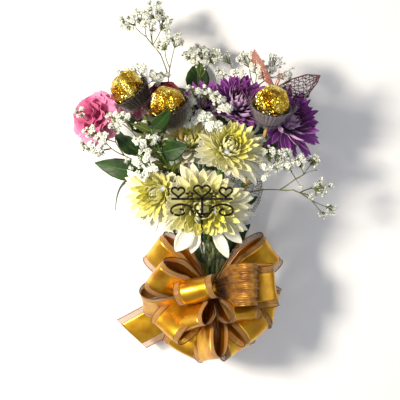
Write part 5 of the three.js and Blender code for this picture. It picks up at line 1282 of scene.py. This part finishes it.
STICK_RADIUS = 1.5
BEAD = [(0.45, -0.9), (0.6, -0.4), (0.4, 0.1), (-0.3, 0.2)]  # the rolled rim, from the rim's own point
MIDDLE = 0.3  # radius at which a turned profile starts and ends
ROUND = 144  # points round a turned cup


def foil_ball(rng):
    ball = bmesh.new()
    bmesh.ops.create_icosphere(ball, subdivisions=6, radius=1)
    ways = unit(np.array([v.co for v in ball.verts]))
    faces = [[v.index for v in f.verts] for f in ball.faces]
    ball.free()
    planes = unit(rng.normal(size=(FOIL_PLANES, 3)))
    depths = rng.uniform(*FOIL_DEPTHS, FOIL_PLANES)
    towards = np.maximum(ways @ planes.T, 1e-3)
    radius = np.minimum((depths / towards).min(axis=1), 1.0) * BALL_RADIUS
    ridges = np.array([noise.ridged_multi_fractal(Vector(way * RIDGE_SCALE), *RIDGES) for way in ways])
    radius -= RIDGE_DEPTH * (1 - np.clip(ridges / ridges.max(), 0, 1))
    return ways * radius[:, None], faces


def paper_cup(rng):
    shares = np.linspace(0, 1, 9)
    wall = [(mix(CUP_BASE[0], CUP_RIM[0], t**0.9), mix(CUP_BASE[1], CUP_RIM[1], t)) for t in shares]
    inside = [(r - PAPER_WALL, max(z, CUP_BASE[1] + PAPER_WALL)) for r, z in reversed(wall)]
    profile = [(MIDDLE, CUP_BASE[1])] + wall + inside + [(MIDDLE, CUP_BASE[1] + PAPER_WALL)]
    outwards = [0, *shares, *reversed(shares), 0]
    phase = rng.uniform(0, CIRCLE)

    def flute(k, angle):
        depth = (FLUTE_BASE + FLUTE_GROWTH * outwards[k]) * (0 < k < len(profile) - 1)
        return depth * np.sin(CUP_FLUTES * angle + phase)

    return turned(profile, CUP_FLUTES * 8, flute)


def clear_cup(rng):
    (base, under), (rim, top) = HOLDER_BASE, HOLDER_RIM
    steps = np.linspace(0, 1, 7)
    outer = [(mix(base, rim, t), mix(under, top - 1, t)) for t in steps]
    bead = [(rim + out, top + up) for out, up in BEAD]
    inner = [(mix(rim, base, t) - HOLDER_WALL, mix(top - 0.4, HOLDER_FLOOR, t)) for t in steps]
    socket = [(MIDDLE, under), (SOCKET_BORE, under), (SOCKET_BORE, under - SOCKET_DEPTH)]
    socket += [(SOCKET_RADIUS, under - SOCKET_DEPTH), (SOCKET_RADIUS, under)]
    points, faces = turned(socket + outer + bead + inner + [(MIDDLE, HOLDER_FLOOR)], ROUND)
    angle = np.arctan2(points[:, 1], points[:, 0]) + math.pi / 2  # a notch dips into the front of the rim
    high = np.clip((points[:, 2] - (top - NOTCH_DEPTH - 2)) / (NOTCH_DEPTH + 2), 0, 1)
    points[:, 2] -= high * NOTCH_DEPTH / (1 + (angle / NOTCH_HALF) ** 8)
    return points, faces


for seed, (name, (centre, opens, place)) in enumerate(CHOCOLATES.items()):
    axis = unit(opens)
    rng = np.random.default_rng(60 + seed)
    for shape, part, skin, slot, node in (
        (foil_ball, "ball_", FOIL, "gold_foil", "foil_ball_"),
        (paper_cup, "paper_", PALE_PAPER if name == "right" else PAPER, "brown_paper", "paper_cup_"),
        (clear_cup, "holder_", CLEAR, "clear_plastic", "clear_cup_"),
    ):
        points, faces = shape(rng)
        points = set_on(points, np.array(centre, float), axis)
        piece(part + name, (points, faces), skin, slot, node + name)
    mouth = centre + axis * (HOLDER_BASE[1] - SOCKET_DEPTH - 2)
    foot = waist_point(place) + HEADWARDS * 8
    line = [foot, mix(foot, mouth, 0.5), mouth, centre + axis * (HOLDER_BASE[1] - CLEARANCE)]
    piece("bamboo_" + name, tube(line, STICK_RADIUS, 12), WOOD, "stick_wood", "stick_" + name)

# %% [markdown]
# ## Butterfly
#
# The butterfly is cut from metallic paper: each wing is a net of veins and openings. The net is drawn as
# edges only, and a Geometry Nodes tree turns the edges into round threads of paper. One wing has a thin
# sheet behind its net, and shines rose gold. The other is open and mostly in its own shade, which is painted
# into its card as a dark maroon.

# %% Wing net
BODY, WIRE_FOOT = np.array([59.0, 184, 76]), np.array([67.0, 158, 72])
NOSE = unit([0.37, 0.9, 0.2])
WINGS = {"right": ([99, 194, 90], [0.42, -0.88, 0.2]), "left": ([38.5, 217.5, 96], [-0.3, -0.1, -0.95])}
WING_LENGTH = 43
WING_LEAD = [(0.06, 0.03), (0.38, 0.11), (0.72, 0.12), (1, 0.015)]
WING_TRAIL = [(0.04, -0.05), (0.3, -0.23), (0.64, -0.36), (0.985, -0.015)]
WING_COLUMNS, WING_ROWS = 13, 8
WING_PAPER = 0.3
WING_BOW, SCALLOP, UNEVEN = 1.2, 1.2, (1.1, 0.8)
RIM_WIDTH, VEIN_WIDTH, THREAD_WIDTH = 1.5, 1.0, 0.7  # as shares of the net's usual thread
THREAD_RADIUS = 0.4
SCALLOPS = 2.4  # half waves along each third of the back edge


def wing_grid(name):
    """Points of a wing, from its front edge to its back edge, from the root out to the tip."""
    tip, lean = WINGS[name]
    along = unit(np.array(tip) - BODY)
    down = unit(np.array(lean) - along * np.dot(lean, along))
    steps = np.linspace(0, 3, WING_COLUMNS)
    lead, trail = along_line(WING_LEAD, steps), along_line(WING_TRAIL, steps)
    share = np.linspace(0, 1, WING_ROWS)[None, :, None]
    flat = mix(lead[:, None], trail[:, None], share) * WING_LENGTH
    flat[:, -1, 0] += SCALLOP * np.sin(steps * SCALLOPS * math.pi) * (steps > 0.3)
    drift = np.random.default_rng(len(name)).uniform(-1, 1, flat.shape)
    drift[[0, -1]], drift[:, [0, -1]] = 0, 0
    flat = flat + drift * UNEVEN
    bow = WING_BOW * np.sin(steps / 3 * math.pi)[:, None, None] * np.cross(along, down)
    return BODY + flat[..., :1] * along - flat[..., 1:] * down + bow


NET_TREE, known = group("edges to threads", {"Thread": "Float", "Finish": "Material"}, {"wide": "FLOAT"})
wire(NET_TREE, known, [
    ("line", "GeometryNodeMeshToCurve", {"Mesh": "Geometry"}),
    ("ring", "GeometryNodeCurvePrimitiveCircle", {"Resolution": 6, "Radius": "Thread"}),
    ("tapered", "GeometryNodeSetCurveRadius", {"Curve": "line", "Radius": "wide"}),
    ("bars", "GeometryNodeCurveToMesh",
     {"Curve": "tapered", "Profile Curve": "ring", "Fill Caps": True, "Scale": "wide"}),
    ("real", "GeometryNodeRealizeInstances", ["bars"]),
    ("painted", "GeometryNodeSetMaterial", {"Geometry": "real", "Material": "Finish"}),
    ("end", "NodeGroupOutput", ["painted"]),
])


# Metallised card: rose gold flake on paper, sparkling, between a metal and a paint. Real flakes are about
# 0.1 mm. At 900 in a metre they are 1.1 mm, as coarse as they need to be to sparkle here.
def metal_card(name, dark, light):
    return material(name, [
        ("spot", "TexCoord", []),
        *clouds(900.0, 2.0, (0.35, dark), (0.65, light), by="spot Object"),
        ("relief", "Bump", {"Height": "clouds", "Strength": 0.4, "Distance": 0.0004}),
    ], Base_Color="shades", Normal="relief", Metallic=0.5, Roughness=0.38)


ROSE_GOLD = metal_card("metallised card, rose gold", "a8604e", "f2bcac")
# The right wing is the same rose gold card, drawn dark maroon: painted shade, as that wing lies mostly in
# its own shadow.
ROSE_GOLD_IN_SHADE = metal_card("metallised card, maroon", "22080c", "54262e")

for name in WINGS:
    edges, wide = [], []
    for i in range(WING_COLUMNS):
        for j in range(WING_ROWS):
            rim = i in (0, WING_COLUMNS - 1) or j in (0, WING_ROWS - 1)
            wide.append(RIM_WIDTH if rim else VEIN_WIDTH if j % 3 == 0 else THREAD_WIDTH)
            here, right = i * WING_ROWS + j, (i + 1) * WING_ROWS + j
            inner_column, inner_row = i + 1 < WING_COLUMNS, j + 1 < WING_ROWS
            edges += [(here, right)] * inner_column + [(here, here + 1)] * inner_row
            edges += [(here, right + 1)] * (inner_column and inner_row and (i + j) % 2 and i > 2)
    mesh = mesh_of("net_" + name, wing_grid(name).reshape(-1, 3) / MM + TIE, edges)
    mark(mesh, "wide", wide)
    # The right wing takes the card in painted shade.
    card = ROSE_GOLD if name == "left" else ROSE_GOLD_IN_SHADE
    made = grow("wing_" + name, mesh, NET_TREE, Thread=THREAD_RADIUS / MM, Finish=card)
    dress(made, card, "butterfly")

# The left wing keeps paper in most of its openings.
grid = wing_grid("left")
sheet = Gather()
for i in range(WING_COLUMNS - 1):
    for j in range(WING_ROWS - 1):
        if i % 2 or j % 3:
            sheet.add(*slab(grid[i : i + 2, j : j + 2], WING_PAPER)[:2])
dress(sheet.make("paper_left", smooth=False), ROSE_GOLD, "butterfly")

body = Gather()
steps = np.array([-12, -9, -5, -1, 3, 5.5, 8, 10, 11.5])
body.add(*tube(BODY + np.outer(steps, NOSE), [0.5, 1.1, 1.5, 1.7, 1.9, 1.4, 1.5, 1.2, 0.4], 12))
body.add(*tube(mix(BODY, WIRE_FOOT, np.array([[0], [0.5], [1]])), 0.5))
level = unit(np.cross(NOSE, UP))  # the feelers spread to both sides, and rise a little
t = np.linspace(0, 1, 8)[:, None]
for side in (-1, 1):
    feeler = BODY + NOSE * (10 + 9 * t) + level * side * (1 + 3.5 * t**1.6) + UP * 1.5 * t
    body.add(*tube(feeler, np.linspace(0.3, 0.2, 8), 6))
dress(body.make("butterfly_body"), ROSE_GOLD, "butterfly")

# %% [markdown]
# ## Ornament pick and crystal pins
#
# The pick is cut from black sheet: a bar with hearts and stars, two scrolls below, and a rod that goes down
# into the front bloom. Strokes of one width and thickness follow each line. The pins carry cut stones.

# %% Cut strokes
ORNAMENT_CENTRE = np.array([-7.5, 82.5, 135])
ORNAMENT_TILT = math.radians(33)
SHEET = 1.1
STROKE = 1.5
HEART_WIDTH = 32  # of the heart curve as it is worked out, before it is scaled
STAR_POINTS, STAR_RADII = 5, (3.8, 1.5)
SCROLL_TURN, SCROLL_RADII = (0.4, 7.4), (10.5, 2.4)  # first angle and how far it winds; outside, inside


def stroke(gather, line, width=STROKE, closed=False):
    """A bar of square section along a flat line, then tilted and set in place."""
    line = np.array(line, float)
    around = np.vstack([line[-1:], line, line[:1]] if closed else [line[:1], line, line[-1:]])
    way = unit(around[2:] - around[:-2])
    side = np.stack([-way[:, 1], way[:, 0]], axis=-1) * width / 2
    corners = [(side, SHEET / 2), (side, -SHEET / 2), (-side, -SHEET / 2), (-side, SHEET / 2)]
    rings = [np.column_stack([line + offset, np.full(len(line), z)]) for offset, z in corners]
    flat = np.stack(rings, axis=1).reshape(-1, 3)
    faces = lattice(len(line) + closed, 4, wrap=True)
    if closed:
        faces = [tuple(i % len(flat) for i in face) for face in faces]
    else:
        faces += [(3, 2, 1, 0), tuple(len(flat) - 4 + k for k in range(4))]
    tilted = flat.copy()
    tilted[:, 1] = flat[:, 1] * math.cos(ORNAMENT_TILT) - flat[:, 2] * math.sin(ORNAMENT_TILT)
    tilted[:, 2] = flat[:, 1] * math.sin(ORNAMENT_TILT) + flat[:, 2] * math.cos(ORNAMENT_TILT)
    gather.add(tilted + ORNAMENT_CENTRE, faces)


pick = Gather()
stroke(pick, [(-26, 1.5), (26, 1.5)])
stroke(pick, [(0, 2), (0, -42)], 2)
a = turns(48)
heart_line = np.stack(
    [16 * np.sin(a) ** 3, 13 * np.cos(a) - 5 * np.cos(2 * a) - 2 * np.cos(3 * a) - np.cos(4 * a)], axis=-1
)
for x, y, size in [(-20, 8.6, 11), (0, 9.6, 14), (20, 8.6, 11)]:
    stroke(pick, (x, y) + heart_line * size / HEART_WIDTH, closed=True)
    stroke(pick, [(x, 1.5), (x, 4)])
a = turns(2 * STAR_POINTS)
r = np.tile(STAR_RADII, STAR_POINTS)
for x in (-10, 10):
    stroke(pick, np.stack([x + r * np.sin(a), 6 + r * np.cos(a)], axis=-1), 1.1, closed=True)
t = np.linspace(0, 1, 60)
a, r = SCROLL_TURN[0] + t * SCROLL_TURN[1], mix(*SCROLL_RADII, t**0.7)
for side in (-1, 1):
    stroke(pick, np.stack([side * (19 - r * np.cos(a) * 1.15), -11 + r * np.sin(a) * 0.82], axis=-1))
    stroke(pick, [(0, -14), (side * 6, -13.2), (side * 9.8, -9)])

# Cast acrylic, black and polished: nearly mirror smooth.
ACRYLIC = material("black acrylic sheet", Base_Color=colour("0d0b0a"), Roughness=0.18)
dress(pick.make("pick", smooth=False), ACRYLIC, "ornament_pick")

# %% Crystal pins
PINS = [
    ([-23.5, 73.5, 122], "cream_front"), ([4.5, 73, 124], "cream_front"), ([-11.5, 66, 123], "cream_front"),
    ([14, 124, 118], "cream_right"), ([-42, 93, 106], "cream_left"),
]
FACETS = 10
STONE = [(-0.3, 2.7, 0), (0.3, 2.7, 0), (0.95, 2.25, 0.5), (1.5, 1.4, 0)]  # height, radius, facets turned by
# Foil-backed glass stones: they don't let light through, and flash from flat facets.
CRYSTAL = material("foil-backed glass stone", Base_Color=colour("e3e8f2"), Metallic=0.75, Roughness=0.05)
for number, (place, bloom) in enumerate(PINS, 1):
    top = np.array(place, float)
    axis = unit(top - BLOOMS[bloom][0])
    foot = 2 - np.linalg.norm(top - BLOOMS[bloom][0])
    stone = [
        top + axis * height + radius * circle(turns(FACETS) + shift * math.pi / 5, *across(axis))
        for height, radius, shift in [(foot, 0.5, 0), (-2.4, 0.55, 0), *STONE]
    ]
    piece(f"stone_{number}", capped(stone), CRYSTAL, "crystal", f"crystal_pin_{number}", smooth=False)

# %% [markdown]
# ## Sleeve, band, bow and tail
#
# A clear film sleeve wraps the stems, printed with a fine lace in grey. A pull bow stands on the band round
# the waist. Each loop is a strip of ribbon: metallic gold in the middle, sheer borders outside, and a fine
# wire in each edge. The strip is gathered where the bow's band pulls it together, and widens as it leaves.

# %% Film, lace and ribbon
# Polypropylene film: clear, with sharp highlights, pale streaks that are painted highlights of its creases,
# and a printed lace near the rim. The lace has a motif every 3.3 mm, with rings in it, and the painted
# crease highlights are about 3 mm wide and 11 mm long.
FILM = material("clear film with lace print", [
    ("span", "CombineXYZ", ["round", "up"]),
    ("cells", "TexVoronoi", {"Vector": "span", "Scale": 0.3, "Randomness": 0.35}, {"feature": "F1"}),
    ("rings", "MULTIPLY", ["cells", 5.2]),
    ("ring", "PINGPONG", ["rings", 1.0]),
    ("pattern", "MapRange", ["ring", 0.55, 0.75, 0.0, 1.0]),
    ("border", "MapRange", ["rim", 12.0, 34.0, 1.0, 0.0]),
    ("lace", "MULTIPLY", ["pattern", "border"]),
    ("shade", "Mix", {0: "lace", 6: colour("c9d0d2"), 7: colour("4c443e")}, COLOURS),
    ("printed", "MapRange", ["lace", 0.0, 1.0, 0.015, 0.8]),
    ("drawn out", "VectorMath", ["span", (1.0, 0.3, 1.0)], {"operation": "MULTIPLY"}),
    # Pale streaks of noise stand for creases catching the light: painted highlights.
    ("folds", "TexNoise", {"Vector": "drawn out", "Scale": 0.3, "Detail": 2.0, "Distortion": 0.6}),
    ("creases", "MapRange", ["folds", 0.64, 0.72, 0.0, 0.5]),
    ("solid", "MAXIMUM", ["printed", "creases"]),
], Base_Color="shade", Alpha="solid", Roughness=0.05, Specular_IOR_Level=0.3)

# Metallised ribbon: gold lacquer over bright metal, with a fine weave across it. Its back is duller and
# browner, which is the side that shows inside a loop. Its threads are about 0.3 mm apart, which is too fine
# to show: 29 are drawn across the 38 mm, 1.3 mm apart. The lacquer wears in patches of about 12 mm.
GOLD = material("metallised ribbon, gold", [
    *clouds(0.08, 3.0, (0.3, "c8840e"), (0.7, "efbc2c")),
    ("skin", "Mix", {0: "under", 6: "shades", 7: colour("b06a10")}, COLOURS),
    ("dull", "MapRange", ["under", 0.0, 1.0, 0.34, 0.6]),
    ("threads", "MULTIPLY", ["across", 90.0]),
    ("weave", "SINE", ["threads"]),
    ("relief", "Bump", {"Height": "weave", "Strength": 0.15, "Distance": 0.0003}),
], Base_Color="skin", Roughness="dull", Normal="relief", Metallic=0.9, Coat_Weight=0.5, Coat_Roughness=0.2)

# Organza: sheer brown-gold nylon. The white table shows through it as beige, the gold as orange brown.
ORGANZA = material("organza, brown gold", [
    ("slant", "LayerWeight", {"Blend": 0.5}),
    ("thick", "MapRange", ["slant Facing", 0.0, 1.0, 0.3, 0.8]),
], Alpha="thick", Base_Color=colour("b88644"), Roughness=0.4, Sheen_Weight=0.3)

# One loop is organza alone, doubled and crumpled, so that it is deeper in colour and hardly sheer, in
# patches of about 5 mm where it is crushed.
CRUMPLED = material(
    "organza, brown gold, doubled",
    clouds(0.2, 3.0, (0.35, "7c4a0c"), (0.65, "bd8424")),
    Base_Color="shades", Roughness=0.38, Sheen_Weight=0.3, Metallic=0.35, Alpha=0.82,
)

# Thin brass wire, dull and dark beside the ribbon.
WIRE = material("edge wire, dull brass", Base_Color=colour("7a5418"), Metallic=0.9, Roughness=0.45)

# %% Sleeve and band
SLEEVE_BOTTOM, SLEEVE_FRONT, SLEEVE_BACK = -44, 44, 122
SLEEVE_PROFILE = (  # places along the bundle, and the radius at each
    [-44, -5.5, 5.5, 16, 30, 49, 80, 93, 125], [17.2, 15.7, 15.7, 18.2, 22.2, 30, 47, 50, 60]
)
FILM_WALL = 0.25
ROUND_FILM, DOWN_FILM, DOWN_BAND = 192, 46, 15  # points round the film, along it, and along the band
BROAD_PLEATS, FINE_PLEATS, PUCKERS = 12, 31, 40  # how many go round
BROAD_DEPTH, FINE_DEPTH, PUCKER_DEPTH = 0.8, 0.5, 0.3  # pleats grow towards the rim, puckers stay at the tie
PUCKER_REACH = 9
PLAIN_FRONT = 34  # how far the print moves off the front
PRINT_PITCH = 40  # millimetres of lace for each radian round the sleeve
BAND_INNER, BAND_OUTER, BAND_HALF = 16.2, 17.1, 4.5


def round_bundle(y, radius, angle, above=-np.inf):
    """Points round the bundle's middle line, none of them below a height."""
    middle = WAIST_HEIGHT + y * np.where(y < 0, HANDLE_SLOPE, HEAD_SLOPE)
    z = np.maximum(middle + radius * np.cos(angle), above)
    return np.stack([radius * np.sin(angle), y + 0 * angle, z], axis=-1)


angle = turns(ROUND_FILM)[None, :]
rim = mix(SLEEVE_FRONT, SLEEVE_BACK, ((1 - np.cos(angle)) / 2) ** 0.7)
y = mix(SLEEVE_BOTTOM, rim, np.linspace(0, 1, DOWN_FILM)[:, None])
pleat = BROAD_DEPTH * np.cos(BROAD_PLEATS * angle) + FINE_DEPTH * np.sin(FINE_PLEATS * angle + 2)
pucker = PUCKER_DEPTH * np.exp(-((y / PUCKER_REACH) ** 2)) * np.cos(PUCKERS * angle)
radius = np.interp(y, *SLEEVE_PROFILE) + np.maximum(0, y / SLEEVE_BACK) * pleat + pucker
outer, inner = (round_bundle(y, radius - inset, angle, inset) for inset in (0, FILM_WALL))
from_rim = rim - y + PLAIN_FRONT * ((1 + np.cos(angle)) / 2) ** 4  # the print runs out towards the front
marks = {"up": y, "round": angle * PRINT_PITCH + 0 * y, "rim": from_rim}
marks = {key: [value, value[::-1]] for key, value in marks.items()}
piece("film", shell(outer, inner), FILM, "clear_film", "sleeve", **marks)

share = np.linspace(-1, 1, DOWN_BAND)[:, None]
crease = 0.25 * np.sin(share * 9 + 0.6 * np.sin(3 * angle))
outer = round_bundle(share * BAND_HALF, BAND_OUTER + crease, angle)
inner = round_bundle(share * BAND_HALF, BAND_INNER + 0 * crease, angle)
piece("band", shell(outer, inner), GOLD, "gold_ribbon", "bow_band", across=[share + 0 * angle] * 2)

# %% Ribbon strips
RIBBON_WIDTH = 38
RIBBON = 0.35
SHEER = 0.6  # thickness of the sheer borders, as a share of the ribbon's
EDGE_WIRE = 0.4
GOLD_SHARE, LAP = 0.72, 0.06  # of the half width: how much is gold, and how far the sheer part goes under
ROOT = 0.42  # radians of a loop's turn that are inside the knot, at each end
NARROWEST = 0.16  # of the width, at the knot
WIDENS = 1.7  # how fast a loop comes to its full width
GATHERS = 1.35  # how fast the folds of the knot die out
ROOT_FOLD, SOFT_FOLD = 1.5, 0.5  # depth of the folds at the knot, and of the soft waves far out
ANY_PHASE = (0, 6)
KNOT = np.array([2.0, 0.0, 60.0])
KNOT_RADIUS = 9
KNOT_DEPTH = 13.4
KNOT_LEVELS = (-0.95, -0.8, -0.5, -0.15, 0.2, 0.5, 0.75, 0.92)
KNOT_FOLDS, KNOT_FOLD = 9, 0.07
LOOPS = [  # heading, rise, length, turn, how wide the loop stands open
    (143, 4, 68, -34, 22), (163, 26, 62, -42, 22), (190, 4, 66, -56, 24), (221, 20, 61, 40, 20),
    (243, -2, 66, 14, 16), (268, 20, 66, 62, 18), (293, -2, 64, -36, 18), (316, 20, 62, -40, 22),
    (343, 2, 62, -24, 18), (6, 22, 62, 8, 18), (35, 4, 68, 30, 20), (12, 44, 54, -14, 22),
    (236, 42, 50, 66, 18), (322, 42, 50, -62, 18), (170, 66, 44, 113, 26),
]
SHEER_LOOP = 11


def loop_line(heading, rise, length, turn, open_):
    """The middle line of a loop, the ribbon's width along it, and how far out each step is."""
    a, b, tilt = math.radians(heading), math.radians(rise), math.radians(turn)
    out = np.array([math.cos(a) * math.cos(b), math.sin(a) * math.cos(b), math.sin(b)])
    level = np.array([-math.sin(a), math.cos(a), 0])
    width = level * math.cos(tilt) + np.cross(out, level) * math.sin(tilt)
    over = np.cross(out, width)
    t = mix(ROOT, 2 * math.pi - ROOT, np.linspace(0, 1, 60))
    share = (1 - np.cos(t)) / 2
    line = KNOT + np.outer(mix(KNOT_RADIUS * 0.55, length, share), out)
    line = line + np.outer(open_ / 2 * np.sin(t) * (0.35 + 0.8 * share), over)
    return line, np.outer(mix(NARROWEST, 1, np.minimum(1, share * WIDENS)), width), share


def ribbon(name, line, width, share, node, rng, crumple=0.0, slant=0.0, columns=27):
    """A strip of ribbon: gold in the middle, sheer at the borders, wired edges, gathered at its root."""
    u = np.linspace(-1, 1, columns)[None, :]
    far = share[:, None]
    way = unit(np.gradient(line, axis=0))
    face = unit(np.cross(way, unit(width)))
    gathered = 1 - np.clip(far * GATHERS, 0, 1)
    folds = ROOT_FOLD * gathered * np.sin(u * 11 + rng.uniform(*ANY_PHASE))
    folds = folds + (SOFT_FOLD + crumple) * np.sin(u * 3.1 + 5 * far + rng.uniform(*ANY_PHASE)) * far
    pleats = np.sin(u * 33 + 2 * far) + np.sin(u * 19 + 5 * far) + 1.3 * np.sin(u * 5 + 9 * far) * far
    folds = folds + crumple * pleats
    grid = line[:, None] + width[:, None] * (u * RIBBON_WIDTH / 2)[..., None]
    grid = grid + face[:, None] * folds[..., None] + way[:, None] * (slant * u * far**4)[..., None]
    for part, kept, skin, thickness in (
        ("gold", np.abs(u[0]) <= GOLD_SHARE + 0.01, GOLD, RIBBON),
        ("left_border", u[0] <= -GOLD_SHARE + LAP, ORGANZA, RIBBON * SHEER),
        ("right_border", u[0] >= GOLD_SHARE - LAP, ORGANZA, RIBBON * SHEER),
    ):
        *strip, under = slab(grid[:, kept], thickness)
        marks = {"across": [u[0][kept] + 0 * far] * 2, "under": under}
        piece(f"{name}_{part}", strip, CRUMPLED if crumple else skin, "gold_ribbon", node, **marks)
    wires = Gather()
    for column in (0, -1):
        wires.add(*tube(grid[:, column], EDGE_WIRE, 6))
    dress(wires.make(name + "_wires"), WIRE, node)


for k, loop in enumerate(LOOPS):
    crumpled = {"crumple": 0.55, "columns": 81} if k == SHEER_LOOP else {}
    ribbon(f"loop_{k + 1}", *loop_line(*loop), "bow", np.random.default_rng(70 + k), **crumpled)

# The knot: the ribbon's gathered middle, pulled in over the band.
a = turns(36)
rings = []
for level in KNOT_LEVELS:
    radius = KNOT_RADIUS * math.sqrt(1 - level**2) * (1 + KNOT_FOLD * np.cos(KNOT_FOLDS * a + 5 * level))
    height = 0 * a + KNOT_DEPTH * level
    rings.append(KNOT + np.stack([radius * np.cos(a), radius * np.sin(a), height], axis=-1))
piece("knot", capped(rings), GOLD, "gold_ribbon", "bow", across=0.0)

# The tail: one loose end, cut at a slant.
TAIL = [(0, -2, 50), (-16, -12, 44), (-38, -26, 34), (-58, -38, 26), (-76, -48, 22)]
TAIL_ROOT, TAIL_SLANT, SMOOTHINGS = 0.3, -5.0, 12
t = np.linspace(0, 4, 50)
line = along_line(TAIL, t)
for _ in range(SMOOTHINGS):
    line[1:-1] = (line[:-2] + 2 * line[1:-1] + line[2:]) / 4
width = np.outer(mix(TAIL_ROOT, 1, np.minimum(1, t / 2)), unit([0.5, -0.82, -0.1]))
ribbon("tail", line, width, t / 4, "bow_tail", np.random.default_rng(99), slant=TAIL_SLANT)
